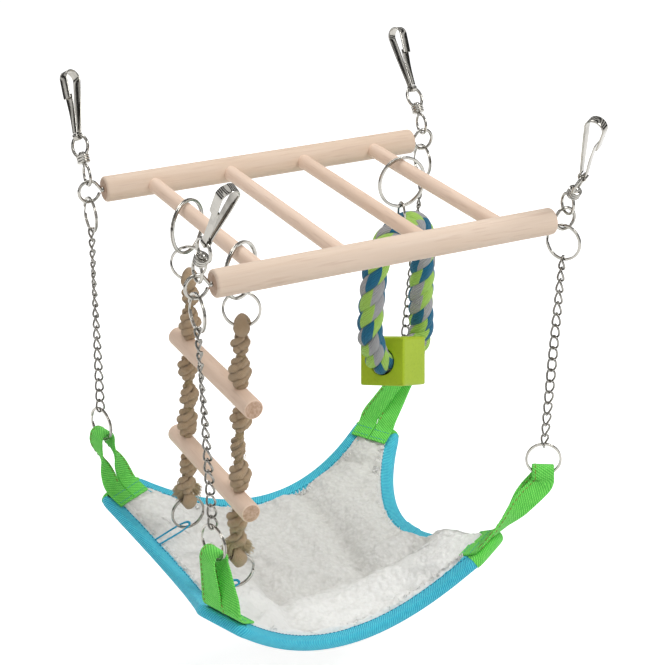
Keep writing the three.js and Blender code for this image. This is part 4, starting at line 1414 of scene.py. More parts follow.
@dataclass
class Hammock:
    """Fleece pad, its binding, four webbing loops and the threads that tie it to the rope ladder."""

    pad_thickness: float = 7.0
    rim_thickness: float = 3.0
    binding_width: float = 8.0
    binding_thickness: float = 0.9
    strap_width: float = 12.0
    strap_thickness: float = 1.2
    strap_lap: float = 12.0
    strap_spread: float = 6.2
    strap_run: float = 2.2
    fold_radius: float = 3.6
    corner_cut: float = 28.0
    cut_turn: float = -15.0
    front_dip: float = 4.0
    left: float = 98.0
    right_front: float = 63.0
    right_back: float = 74.0
    front: float = 80.0
    back: float = 71.0
    sag: float = 38.0
    bend: float = 1.7
    fit: float = 0.3
    fold_clearance: float = 0.9
    front_side: Side = Side(11, 33)
    right_side: Side = Side(27, 22)
    back_side: Side = Side(19, 24)
    left_side: Side = Side(13, 18)
    creases: tuple = (
        ((12.0, 62.0), (13.0, 51.0), (16.0, 30.0), (16.5, 4.5), (12.0, -26.0)),
        ((-44.0, -32.0), (-14.0, -27.0), (11.0, -31.0), (31.0, -35.0), (45.0, -39.0)),
        ((-46.0, 15.0), (-45.0, -8.0), (-44.0, -32.0), (-46.0, -51.0), (-46.0, -66.0)),
    )
    mounds: tuple = ((61.0, -58.0, 4.2), (54.0, -47.0, 3.0), (46.0, -37.0, 1.6))
    grid: int = 217
    coarse: int = 3
    slack: float = 0.04
    puff: float = 2.5
    pressure: float = 4.0
    frames: int = 20
    seam_allowance: float = 22.0
    hem_pitch: float = 2.6
    hem_stitch: float = 1.7
    hem_radius: float = 0.22
    fluff_count: int = 3200
    fluff_radius: float = 0.85
    seam_start: float = 14.0
    seam_pitch: float = 3.0
    seam_stitch: float = 2.1
    seam_radius: float = 0.24
    tack_stitch: float = 1.3
    tack_radius: float = 0.16

    @property
    def centre(self) -> Array:
        """Lowest place of the pad's middle surface."""
        return np.array([(self.right_back - self.left) / 2, (self.back - self.front) / 2, LEVELS.corner - self.sag])

    @property
    def binding_top(self) -> float:
        """Pad's middle surface to the binding's upper face."""
        return self.rim_thickness / 2 + 2 * self.fit + self.binding_thickness

    def ends(self, corner: Corner) -> tuple[Array, Array]:
        """The two ends of a cut-off corner: on the front or back edge, and on the left or right edge.

        Args:
            corner: The corner.

        Returns:
            Both ends.
        """
        right = self.right_front if corner.y < 0 else self.right_back
        x = -self.left if corner.x < 0 else right
        y = -self.front if corner.y < 0 else self.back
        step = turned_about("z", self.cut_turn) @ unit(np.array([-corner.x, corner.y, 0.0])) * self.corner_cut / 2
        dip = self.front_dip if corner.y < 0 else 0.0
        middle = np.array([x, y, LEVELS.corner])
        return middle + step - dip * UP, middle - step

    @staticmethod
    def side_line(side: Side, start: Array, end: Array, share: Array) -> Array:
        """Points of one hanging side: the straight line, drawn in and down by 4t(1 - t).

        Args:
            side: How the side hangs.
            start: Its first end.
            end: Its second end.
            share: Shares t of the way along it.

        Returns:
            A point for each share.
        """
        bulge = (4 * share * (1 - share))[:, None]
        level = end - start
        inward = np.cross(UP, unit(np.array([level[0], level[1], 0.0])))
        return start + share[:, None] * level + bulge * (side.inset * inward - side.sag * UP)

    def outline(self) -> Band:
        """Dense points round the edge, anticlockwise, each quarter from one cut corner's middle to the next.

        Returns:
            The points, with up and out at each.
        """
        front_left, front_right, back_right, back_left = (self.ends(corner) for corner in CORNERS)
        runs = (
            (self.front_side, front_left[1], front_left[0], front_right[0], front_right[1]),
            (self.right_side, front_right[0], front_right[1], back_right[1], back_right[0]),
            (self.back_side, back_right[1], back_right[0], back_left[0], back_left[1]),
            (self.left_side, back_left[0], back_left[1], front_left[1], front_left[0]),
        )
        quarters = []
        for side, before, start, end, beyond in runs:
            middle = self.side_line(side, start, end, np.linspace(0.0, 1.0, 60))
            first = np.linspace((before + start) / 2, start, 8)[:-1]
            last = np.linspace(end, (end + beyond) / 2, 8)[1:]
            quarters.append(respaced(np.vstack([first, middle, last]), 97)[:-1])
        soft = np.concatenate(quarters)
        for _ in range(6):
            soft = 0.5 * soft + 0.25 * (np.roll(soft, 1, axis=0) + np.roll(soft, -1, axis=0))
        return self.framed(soft, travel(soft, True))

    def framed(self, line: Array, along: Array) -> Band:
        """Points of the edge with the directions up from the pad and out of the edge.

        Args:
            line: The points.
            along: Directions of the edge there.

        Returns:
            Points and directions.
        """
        radial = (line - self.centre) * np.array([1.0, 1.0, self.bend])
        up = unit(np.cross(radial, along))
        up = up * np.sign(up[:, 2:])
        out = unit(np.cross(along, up))
        return Band(line, up, out * np.sign((out * radial).sum(axis=1, keepdims=True)))

    def build(self) -> None:
        """Makes the pad, the binding with its stitches and fluff, the webbing and the bands across three of the cut
        corners.
        """
        edge = self.outline()
        pad, area = self.pad(edge)
        hems = [self.binding(edge), self.hem_stitches(edge), self.hem_fluff(edge)]
        self.flat_size(edge.line)
        for corner in CORNERS:
            self.webbing(corner)
        for k in (1, 2, 3):
            count = len(edge.line)
            band = edge.part((k * count // 4 + np.arange(-8, 9)) % count).swept(self.tape_section(0.6))
            make_piece(f"corner_band_{CORNERS[k].name}", band, WEBBING, "hammock", crease=60.0)

    def flat_size(self, edge: Array) -> tuple[float, float]:
        """Width and length of the cut pad, in metres, from the lengths of its middle lines.

        Args:
            edge: Dense points round the edge.

        Returns:
            Width and length.
        """
        quarter = len(edge) // 4
        front, right, back, left = (edge[k * quarter + quarter // 2] for k in range(4))
        share = np.linspace(-1.0, 1.0, 41)
        lengths = []
        for first, second in ((left, right), (front, back)):
            reach = np.where(share[:, None] < 0, first - self.centre, second - self.centre)
            line = self.centre + np.abs(share)[:, None] * reach
            line[:, 2] = self.centre[2] + np.abs(share) ** self.bend * reach[:, 2]
            lengths.append(run_of(line)[-1] + 2 * self.seam_allowance)
        return lengths[0] * MM, lengths[1] * MM

    def square_grid(self, rim: Array, frames: Array) -> tuple[Array, Array, Array]:
        """Carries a square grid on to the pad: nested squares follow nested copies of the rim.

        Args:
            rim: Dense points of the outline, moved in under the binding.
            frames: Directions up from the pad at those points.

        Returns:
            Middle points, up directions and shares of the way to the rim, all on the grid.
        """
        line = np.linspace(-1.0, 1.0, self.grid)
        u, v = np.meshgrid(line, line, indexing="ij")
        share = np.maximum(np.abs(u), np.abs(v))
        safe = np.maximum(share, 1e-9)
        a, b = u / safe, v / safe
        on_front = (-b >= np.abs(a)) & (b < 0)
        on_right = (a >= np.abs(b)) & ~on_front
        on_back = (b >= np.abs(a)) & ~on_right & ~on_front
        quarters = [(a + 1) / 2, 1 + (b + 1) / 2, 2 + (1 - a) / 2]
        where = np.select([on_front, on_right, on_back], quarters, 3 + (1 - b) / 2) / 4 * len(rim)
        ring = np.arange(len(rim) + 1)

        def carried(vectors: Array) -> Array:
            """Vectors of the rim at each place of the grid."""
            closed = np.vstack([vectors, vectors[:1]])
            return np.stack([np.interp(where, ring, closed[:, k]) for k in range(3)], axis=-1)

        spot, lift = carried(rim), carried(frames)
        middle = self.centre + share[..., None] * (spot - self.centre)
        middle[..., 2] = self.centre[2] + (spot[..., 2] - self.centre[2]) * share**self.bend
        return middle, unit(lift), share

    def pad(self, edge: Band) -> tuple[Piece, float]:
        """Makes the fleece pad: a crowned grid on both faces, tufted, thin where the binding holds it, its tone
        carrying painted light towards the front and left and painted shade along the creases.

        Args:
            edge: Dense outline.

        Returns:
            The pad, and the area in square metres that it was cut to.
        """
        rim = edge.line - edge.out * (self.binding_width - 3.4)
        middle, lift, share = self.square_grid(rim, edge.up)
        ease = smoothstep(share, 0.86, 1.0)[..., None]
        raise_to = unit((1 - ease) * UP + ease * lift)
        flat = middle[..., :2]
        soft = 1 - smoothstep(share, 0.95, 1.0)
        half = self.rim_thickness / 2 * 0.9 + (self.pad_thickness / 2 - self.rim_thickness / 2 * 0.9) * soft
        folds = 0.9 * (cloudy(flat, 34.0, 5) - 0.5) + 0.6 * (cloudy(flat, 15.0, 9) - 0.5)
        tufts = np.maximum(0.6 * tufted(flat, 4.4, 3) + 0.4 * tufted(flat + 31.0, 2.4, 11), 0.35)
        # Painted light: the pile's colour is made whiter towards the front and the left edge.
        painted_light_and_shade = smoothstep(-flat[..., 1], 15.0, 55.0) + 0.4 * smoothstep(-flat[..., 0], 40.0, 75.0)
        top, below = self.puffed(middle + raise_to * half[..., None], middle - raise_to * half[..., None], share)
        for crease in self.creases:
            gap = np.linalg.norm(flat[:, :, None] - respaced(smooth_line(crease), 40), axis=-1).min(axis=-1)
            folds = folds - 1.9 * np.exp(-((gap / 6.0) ** 2)) + 1.2 * np.exp(-(((gap - 15.0) / 8.0) ** 2))
            # Painted shade along each crease.
            painted_light_and_shade = painted_light_and_shade - 0.4 * np.exp(-((gap / 5.0) ** 2))
        for x, y, height in self.mounds:
            folds = folds + height * np.exp(-((flat - np.array([x, y])) ** 2).sum(axis=-1) / 120.0)
        top = top + raise_to * (soft * (folds * 1.6 + (tufts - 0.6) * 1.9))[..., None]
        below = below - raise_to * (soft * (tufts - 0.6) * 0.7)[..., None]
        # The tone carries painted shade between the tufts and the painted light and shade above.
        surface = self.two_faces(top, below, np.clip(0.4 * tufts + 0.55 * painted_light_and_shade, 0.0, 1.0))
        piece = make_piece("fleece_pad_sewn", surface, FLEECE, "hammock", ["fleece_pad"], 80.0)
        cells = np.cross(middle[1:, :-1] - middle[:-1, :-1], middle[:-1, 1:] - middle[:-1, :-1])
        return piece, float(np.linalg.norm(cells, axis=-1).sum()) * MM**2

    def puffed(self, top: Array, below: Array, share: Array) -> tuple[Array, Array]:
        """Blows the pad up as cloth, its rim held, and carries the coarse result on to the fine grids.

        Args:
            top: Points of the upper grid.
            below: Points of the lower grid.
            share: Shares of the way to the rim.

        Returns:
            Both grids, no point further than the cap from where it was.
        """
        coarse = self.two_faces(*(grid[:: self.coarse, :: self.coarse] for grid in (top, below, share)))
        mesh = bpy.data.meshes.new("puffed_pad")
        mesh.from_pydata((coarse.points * MM).tolist(), [], coarse.quads.tolist())
        pad = bpy.data.objects.new("puffed_pad", mesh)
        scene = bpy.context.scene
        scene.collection.objects.link(pad)
        pad.vertex_groups.new(name="held").add(np.flatnonzero(coarse.tones() > 0.92).tolist(), 1.0, "REPLACE")
        cloth = pad.modifiers.new("cloth", "CLOTH")
        cloth.settings.vertex_group_mass = "held"
        cloth.settings.use_pressure = True
        cloth.settings.uniform_pressure_force = self.pressure
        cloth.settings.shrink_min = -self.slack
        cloth.settings.effector_weights.gravity = 0.0
        cloth.point_cache.frame_end = self.frames
        for number in range(1, self.frames + 1):
            scene.frame_set(number)
        settled = np.empty(coarse.points.size)
        pad.evaluated_get(bpy.context.evaluated_depsgraph_get()).data.vertices.foreach_get("co", settled)
        bpy.data.objects.remove(pad, do_unlink=True)
        scene.frame_set(1)
        shift = settled.reshape(-1, 3) / MM - coarse.points
        far = np.linalg.norm(shift, axis=1, keepdims=True)
        log.info("pad settled: points moved %.2f mm on average, %.2f mm at most", far.mean(), far.max())
        shift = shift * np.minimum(1.0, self.puff / np.maximum(far, 1e-9))
        side = len(top[:: self.coarse])
        upper, lower = shift.reshape(2, side, side, 3)
        return top + self.finer(upper, len(top)), below + self.finer(lower, len(top))

    @staticmethod
    def finer(grid: Array, count: int) -> Array:
        """A coarse square grid of vectors carried to a finer one: straight between its points.

        Args:
            grid: The coarse grid.
            count: Points on a side of the finer one.

        Returns:
            The finer grid.
        """
        place = np.linspace(0.0, len(grid) - 1.0, count)
        low = np.minimum(place.astype(int), len(grid) - 2)
        part = (place - low)[:, None, None]
        rows = grid[low] * (1 - part) + grid[low + 1] * part
        part = part.reshape(1, -1, 1)
        return rows[:, low] * (1 - part) + rows[:, low + 1] * part

    @staticmethod
    def two_faces(top: Array, below: Array, tone: Array) -> Surface:
        """Closes two grids over each other, their rims joined.

        Args:
            top: Points of the upper grid.
            below: Points of the lower grid.
            tone: A number for each point of either grid.

        Returns:
            One closed surface.
        """
        n = top.shape[0]
        index = np.arange(n * n).reshape(n, n)
        upper = grid_quads(n, n)
        lower = upper[:, ::-1] + n * n
        rim = np.concatenate([index[:-1, 0], index[-1, :-1], index[:0:-1, -1], index[0, :0:-1]])
        onward = np.roll(rim, -1)
        wall = np.stack([onward, rim, rim + n * n, onward + n * n], axis=-1)
        quads = np.concatenate([upper, lower, wall])
        points = np.concatenate([top.reshape(-1, 3), below.reshape(-1, 3)])
        uv = points[quads][..., :2]
        return Surface(points, quads, uv, tone=np.concatenate([tone.ravel(), tone.ravel()])).facing_out()

    def binding(self, edge: Band) -> Piece:
        """Makes the tape folded round the edge, with the lapped join on the right side.

        Args:
            edge: Dense outline.

        Returns:
            The tape.
        """
        first = int(len(edge.line) * 0.355)
        join = edge.part(np.arange(first, first + 7)).swept(self.tape_section(0.7))
        surface = together([edge.swept(self.tape_section(0.0), True), join])
        return make_piece("edge_binding_sewn", surface, BINDING, "hammock", ["edge_binding"], 60.0)

    def hem_stitches(self, edge: Band) -> Piece:
        """Makes the running stitches along the inner edge of the binding's upper leg.

        Args:
            edge: Dense outline.

        Returns:
            The stitches.
        """
        inner = edge.line - edge.out * (self.binding_width - 2.4) + edge.up * (self.binding_top + 0.02)
        run = run_of(edge.closed().line)
        starts = np.arange(0.0, run[-1] - 2.0, self.hem_pitch)
        hem = Band(inner, edge.up, edge.out).closed()
        begin, end = hem.at(run, starts), hem.at(run, starts + self.hem_stitch)
        sewn = capsules(begin.line, end.line, self.hem_radius, begin.up)
        return make_piece("edge_binding_stitches", sewn, HEM_THREAD, "hammock")

    def hem_fluff(self, edge: Band) -> Piece:
        """Makes the tufts of pile that lap over the inner edge of the binding, away from the corners.

        Args:
            edge: Dense outline.

        Returns:
            The tufts.
        """
        draw = np.random.default_rng(41)
        count = self.fluff_count
        run = run_of(edge.closed().line)
        spots = edge.closed().at(run, draw.uniform(0.0, run[-1], count))
        roots = spots.line - spots.out * draw.uniform(self.binding_width, self.binding_width + 2.6, (count, 1))
        roots = roots + spots.up * draw.uniform(1.6, 3.2, (count, 1))
        tips = roots + spots.out * draw.uniform(0.2, 2.2, (count, 1))
        tips = tips + spots.up * draw.uniform(0.5, 1.5, (count, 1)) + draw.normal(0.0, 0.5, (count, 3))
        span = np.abs(spots.line - self.centre) / np.abs(edge.line - self.centre).max(axis=0)
        open_side = span[:, :2].min(axis=1) < 0.62
        bows = draw.normal(0.0, 0.3, (count, 3))
        tufts = fibres(roots[open_side], tips[open_side], bows[open_side], self.fluff_radius).toned(0.75)
        return make_piece("fleece_pad_fluff", tufts, FLEECE, "hammock", crease=180.0)

    def tape_section(self, proud: float) -> Array:
        """Section of the folded tape: an upper leg, a round nose and a lower leg, hollow inside.

        Args:
            proud: How far a second layer stands off the first.

        Returns:
            The section's points.
        """
        outer = self.binding_top + proud * 0.5
        inner = outer - self.binding_thickness
        nose = np.radians(np.linspace(90.0, -90.0, 13))
        reach = self.fit + self.binding_thickness + proud * 0.6
        outside = np.stack([reach - 1.9 + 1.9 * np.cos(nose), outer * np.sin(nose)], axis=1)
        inside = np.stack([reach - 2.4 + 1.5 * np.cos(nose[::-1]), inner * np.sin(nose[::-1])], axis=1)
        low = np.array([[-self.binding_width, -outer + 0.15], [-self.binding_width, -inner - 0.1]])
        high = np.array([[-self.binding_width, inner + 0.1], [-self.binding_width, outer - 0.15]])
        return np.vstack([outside, low, inside, high])

    def webbing(self, corner: Corner) -> None:
        """Makes one webbing loop: up from the pad, over the lower ring and down again, with its stitches.

        Args:
            corner: The corner that it hangs.
        """
        long_end, short_end = self.ends(corner)
        middle = (long_end + short_end) / 2
        cut = unit(long_end - short_end)
        spot = self.framed(middle[None], cut[None])
        up, out = spot.up[0], spot.out[0]
        apart, flat = heading(corner.lower_yaw), heading(corner.lower_yaw + 90)
        towards = 1.0 if cut @ apart >= 0 else -1.0
        lift = self.binding_top + self.fold_clearance + self.strap_thickness / 2
        chord = sqrt(SMALL_RING.clear**2 - (self.strap_width / 2 + self.fit) ** 2)
        fold_middle = self.fold_radius + self.strap_thickness / 2
        ring = LEVELS.chain_ends(corner)[2]
        fold_at = ring + (self.fold_clearance - chord - self.fold_radius) * UP
        lower_width = cut * (1.0 if cut @ flat >= 0 else -1.0)
        clear_z = ring[2] - SMALL_RING.diameter / 2 - self.fold_clearance - self.strap_thickness

        def leg(side: float) -> list[tuple[Array, float]]:
            """Places and twists of one leg, from its sewn end to the ring.

            Args:
                side: Which leg: -1 or 1.

            Returns:
                Place and twist of each station.
            """
            foot = middle + cut * side * towards * self.strap_spread
            top = fold_at + apart * side * fold_middle
            under = np.array([top[0], top[1], clear_z])
            raised = foot + up * lift
            bend = raised + (out + UP) * self.strap_run
            return [
                (raised - out * self.strap_lap, 1.0),
                (raised - out * self.strap_thickness, 1.0),
                (bend, 1.0),
                (bend + 0.35 * (under - bend), 0.75),
                (bend + 0.7 * (under - bend), 0.3),
                (under, 0.0),
                (top, 0.0),
            ]

        angles = np.radians([45.0, 90.0, 135.0])
        fold = [(fold_at - apart * fold_middle * cos(a) + UP * fold_middle * sin(a), 0.0) for a in angles]
        stations = leg(-1.0) + fold + leg(1.0)[::-1]
        line = smooth_line([np.append(place, twist) for place, twist in stations], 10)
        twist = line[:, 3:]
        line = line[:, :3]
        across, through = sides_of(line, flat * (1 - twist) + lower_width * twist)
        section = flat_section(self.strap_width, self.strap_thickness, self.strap_thickness * 0.42, 3)
        name = f"webbing_loop_{corner.name}"
        strap = Band(line, through, across)
        make_piece(f"{name}_woven", strap.swept(section), WEBBING, "hammock", [name], 50.0)
        self.stitches(name, strap)

    def stitches(self, name: str, strap: Band) -> None:
        """Makes the running stitches along a strap and the tacking across its sewn ends, on both faces.

        Args:
            name: The strap's node.
            strap: Its line, faces and edges.
        """
        run = run_of(strap.line)
        height = self.strap_thickness / 2 + 0.02
        starts = np.arange(self.seam_start, run[-1] - self.seam_start, self.seam_pitch)
        tack_rows = np.array([2.0, 7.5, run[-1] - 7.5, run[-1] - 2.0])
        aside = np.arange(-0.42, 0.34, 0.15) * self.strap_width

        def spot(wanted: Array, shift: object, face: float) -> Array:
            """Places on a face at distances along the strap and aside from its middle."""
            there = strap.at(run, wanted)
            return there.line + there.out * np.reshape(shift, (-1, 1)) + there.up * height * face

        seams, tacks = [], []
        side = self.strap_width * 0.36
        for face in (-1.0, 1.0):
            rise = strap.at(run, starts).up * face
            begin, end = spot(starts, side, face), spot(starts + self.seam_stitch, side, face)
            seams.append(capsules(begin, end, self.seam_radius, rise))
        for first in tack_rows:
            wanted = np.full(len(aside), first)
            for face in (-1.0, 1.0):
                rise = strap.at(run, wanted).up * face
                begin, end = spot(wanted, aside, face), spot(wanted, aside + self.tack_stitch, face)
                tacks.append(capsules(begin, end, self.tack_radius, rise))
        make_piece(f"{name}_seam", together(seams), TAN_THREAD, "hammock")
        make_piece(f"{name}_tacking", together(tacks), BLUE_THREAD, "hammock")

    def left_edge(self, y: float) -> tuple[Array, Array, Array]:
        """Place on the left edge level with a rope, with up and out there.

        Args:
            y: The rope's place along Y.

        Returns:
            The place, up and out.
        """
        start, end = self.ends(CORNERS[3])[1], self.ends(CORNERS[0])[1]
        share = (start[1] - y) / (start[1] - end[1])
        pair = self.side_line(self.left_side, start, end, np.array([share, share + 0.01]))
        spot = self.framed(pair[:1], unit(pair[1:] - pair[:1]))
        return pair[0], spot.up[0], spot.out[0]


@dataclass
class RopeLadder:
    """Two knotted jute ropes on rings, with two dowels, tied to the hammock's left edge."""

    hammock: Hammock
    spacing: float = 69.0
    offset: float = -11.0
    rope_diameter: float = 4.8
    knot_diameter: float = 11.0
    dowel_diameter: float = 10.7
    dowel_length: float = 102.0
    dowel_hole: float = 6.8
    drops: tuple[float, float] = (78.0, 137.0)
    tie_inset: float = 21.0
    tie_reach: float = 20.0
    thread_diameter: float = 1.2
    thread_spread: float = 3.0
    ladder_yaw: float = -56.0
    rope_ring_yaw: float = 63.0
    knot_clearance: float = 0.7
    fit: float = 0.3
    lay: float = 8.0
    strand_swell: float = 1.12
    dowel_round: float = 0.8
    fuzz_count: int = 700
    fuzz_radius: float = 0.11
    tail_radius: float = 0.42

    @property
    def ladder_ring_z(self) -> float:
        """Centre of a large ring on its rung."""
        return 4.0 + self.fit - LARGE_RING.clear

    @property
    def rope_ring_z(self) -> float:
        """Centre of the small ring below it."""
        return self.ladder_ring_z - LARGE_RING.clear + LEVELS.clearance - SMALL_RING.clear

    @property
    def eye_inside(self) -> float:
        """Inside radius of a rope's eye round a ring's wire."""
        return hypot(SMALL_RING.depth, 2 * SMALL_RING.width + SMALL_RING.gap) / 2 + self.fit

    @property
    def eye_middle(self) -> float:
        """Radius of the middle of the cord of an eye."""
        return self.eye_inside + self.rope_diameter / 2

    def route(self, y: float) -> tuple[Array, Array]:
        """Upper and lower ends of a rope's line, on the wires of its two rings.

        Args:
            y: The rope's place along Y.

        Returns:
            Both ends.
        """
        edge = self.hammock.left_edge(self.offset)[0]
        upper = np.array([LEVELS.first_rung, y, self.rope_ring_z - SMALL_RING.middle])
        lower = np.array([edge[0] + self.tie_inset, y, edge[2] + self.tie_reach + SMALL_RING.middle])
        return upper, lower

    def build(self) -> None:
        """Makes both ropes with their rings, and the dowels."""
        for name, side in (("back", 1), ("front", -1)):
            self.rope(name, self.offset + side * self.spacing / 2)
        upper, lower = self.route(self.offset)
        for k, drop in enumerate(self.drops):
            middle = upper + (lower - upper) * (upper[2] + drop) / (upper[2] - lower[2])
            node = f"ladder_dowel_{k + 1}"
            half = self.dowel_length / 2
            dowel = round_bar(self.dowel_diameter / 2, half, self.dowel_round, middle, BACK, 56)
            make_piece(f"{node}_turned", dowel, RUNG_WOOD, node, [node])

    def rope(self, name: str, y: float) -> None:
        """Makes one rope: its rings, the laid rope, its knots, eyes, loose fibres and tie thread.

        Args:
            name: Front or back.
            y: Its place along Y.
        """
        upper, lower = self.route(y)
        tie = lower - SMALL_RING.middle * UP
        first, body, node = np.array([LEVELS.first_rung, y, 0.0]), f"rope_{name}", f"jute_rope_{name}"
        rings = (
            ("ladder_ring", f"ladder_ring_{name}", LARGE_RING, first + self.ladder_ring_z * UP, self.ladder_yaw),
            ("rope_ring", body, SMALL_RING, first + self.rope_ring_z * UP, self.rope_ring_yaw),
            ("tie_ring", body, SMALL_RING, tie, -90.0),
        )
        for kind, rides, size, centre, yaw in rings:
            ring = f"{kind}_{name}"
            make_piece(f"{ring}_coiled", size.surface(centre, yaw), NICKEL, rides, [ring])
        along = unit(lower - upper)
        begin, end = upper + along * self.eye_middle, lower - along * self.eye_middle
        line = np.linspace(begin, end, 200)
        laid = twisted(line, self.rope_diameter, self.lay, 10, self.strand_swell)
        cord = make_piece(f"{node}_laid", laid, JUTE, body, [node])
        pieces = self.knots(name, begin, end, along)
        pieces += self.eyes(name, upper, lower)
        pieces.append(self.loose_ends(name, begin, end, along))
        tuple(placed(begin))
        placed(np.vstack([line[::8], end]))
        self.thread(name, y, tie)

    def knots(self, name: str, begin: Array, end: Array, along: Array) -> list[Piece]:
        """Makes a rope's knots: cords wound round the rope in a barrel that swells in its middle.

        Args:
            name: Front or back.
            begin: Top of the rope.
            end: Its bottom.
            along: Its direction.

        Returns:
            The knots.
        """
        half = self.knot_diameter / 2
        seat = sqrt(half**2 - (self.dowel_hole / 2) ** 2)
        stop = self.dowel_diameter / 2 + self.knot_clearance + seat
        stops = []
        for drop in self.drops:
            stops += [(-drop + stop + 3.5, 18.0, 1.05), (-drop - stop - 2.0, 13.0, 1.0)]
        halfway = (stops[1][0] + stops[2][0]) / 2
        middle_size = 0.95 if name == "back" else 0.62
        heights = [(begin[2] - half, 10.0, 0.85), *stops, (halfway, 13.0, middle_size), (end[2] + half, 11.0, 0.9)]
        made = []
        for k, (z, tall, size) in enumerate(heights):
            middle = begin + along * (begin[2] - z) / (-along[2])
            surface = self.knot(middle, along, tall, size, 37.0 * k + (0.0 if name == "back" else 71.0))
            made.append(make_piece(f"jute_knot_{name}_{k + 1}", surface, JUTE_KNOT, f"rope_{name}"))
        return made

    def knot(self, middle: Array, along: Array, tall: float, size: float, phase: float) -> Surface:
        """One knot: three cords on helices whose radius swells as a half sine over the knot's height.

        Args:
            middle: The knot's middle.
            along: Direction of the rope.
            tall: Height of the knot.
            size: Its fullness.
            phase: Turn that its cords start at.

        Returns:
            The three cords.
        """
        share = np.linspace(0.0, 1.0, 70)
        first = unit(np.cross(along, BACK))
        second = np.cross(along, first)
        swell = np.sin(pi * share) ** 0.6
        aside = between(np.radians(2.3 * phase), first, second)
        middle = middle + (share - 0.5)[:, None] * tall * along + (0.9 * swell)[:, None] * aside
        cords = []
        for k in range(3):
            turn = radians(phase) + 2 * pi * (k / 3 + tall / 13.0 * share)
            radius = 0.6 + 2.8 * size * swell * (1.0 + 0.2 * np.sin(3 * turn + 1.7 * k + phase))
            around = between(turn, first, second)
            line = middle + radius[:, None] * around
            lumps = 1.0 + 0.08 * np.sin(7 * turn + phase) + 0.04 * np.sin(15 * turn + 2 * k)
            thick = ((1.1 + 1.1 * size * swell) * lumps)[:, None, None]
            cords.append(swept(line, *sides_of(line, around), circle(14) * thick))
        return together(cords)

    def eyes(self, name: str, upper: Array, lower: Array) -> list[Piece]:
        """Makes the eyes round the wires of the rope's two rings: loops of cord that narrow above and below.

        Args:
            name: Front or back.
            upper: Upper end of the rope's line.
            lower: Its lower end.

        Returns:
            The eyes.
        """
        made = []
        for end, centre, first in (("top", upper, heading(self.rope_ring_yaw)), ("bottom", lower, BACK)):
            aside = np.cross(first, UP)
            place = centre + (0.5 if end == "top" else -0.5) * UP
            line = oval_line(place, first, UP, self.eye_middle, self.eye_middle, 60)
            level = unit(line - place) @ first
            width = np.stack([np.full(60, 0.5), 0.46 + 0.44 * level**2], axis=1)[:, None]
            section = circle(24) * width * self.rope_diameter
            eye = swept(line, unit(line - place), aside, section, True)
            made.append(make_piece(f"jute_eye_{name}_{end}", eye, JUTE_EYE, f"rope_{name}"))
        return made

    def loose_ends(self, name: str, begin: Array, end: Array, along: Array) -> Piece:
        """Makes the fuzz along a rope and the frayed tails at its lowest knot.

        Args:
            name: Front or back.
            begin: Top of the rope.
            end: Its bottom.
            along: Its direction.

        Returns:
            The fibres.
        """
        draw = np.random.default_rng(17 if name == "back" else 29)
        count = self.fuzz_count
        share = draw.random(count)[:, None]
        first = unit(np.cross(along, BACK))
        out = between(draw.random(count) * 2 * pi, first, np.cross(along, first))
        roots = begin + share * (end - begin) + out * (1.6 + 2.4 * draw.random((count, 1)))
        tips = roots + out * (0.6 + 1.7 * draw.random((count, 1))) + along * draw.normal(0.0, 2.2, (count, 1))
        hairs = fibres(roots, tips, draw.normal(0.0, 0.5, (count, 3)), self.fuzz_radius)
        tails = []
        for angle_of, count in ((160.0, 240), (-20.0, 200)):
            away = heading(angle_of)
            base = end - along * 4.0 + away * 2.6 + draw.normal(0.0, 1.0, (count, 3))
            tip = base + away * draw.uniform(1.5, 4.5, (count, 1)) - UP * draw.uniform(2.0, 6.5, (count, 1))
            tip = tip + draw.normal(0.0, 0.9, (count, 3))
            tails.append(fibres(base, tip, draw.normal(0.0, 0.5, (count, 3)), self.tail_radius))
        return make_piece(f"jute_fray_{name}", together([hairs] + tails), FRAY, f"rope_{name}")

    def thread(self, name: str, y: float, tie: Array) -> None:
        """Makes the blue thread that ties a rope's lower ring to the binding.

        Args:
            name: Front or back.
            y: The rope's place along Y.
            tie: Centre of its lower ring.
        """
        point, up, out = self.hammock.left_edge(y)
        lift = self.hammock.binding_top + 3 * self.fit + self.thread_diameter / 2
        seat = point - out * self.hammock.binding_width / 2 + up * lift
        arch = tie + UP * (-SMALL_RING.inner + self.hammock.fold_clearance + self.thread_diameter / 2)
        shoulder = seat + 0.8 * (arch - seat)
        spread = BACK * self.thread_spread
        rising = [seat + spread, shoulder + spread, arch + spread / 2]
        falling = [arch - spread / 2, shoulder - spread, seat - spread]
        line = respaced(smooth_line(rising + falling, 14), 60)
        node = f"tie_thread_{name}"
        strand = wire(line, self.thread_diameter * 0.8, RIGHT, edges=10)
        loop = wire(line + np.array([0.7, 0.5, 0.1]), self.thread_diameter * 0.6, RIGHT, edges=10)
        make_piece(f"{node}_tied", together([strand, loop]), BLUE_THREAD, "hammock", [node])


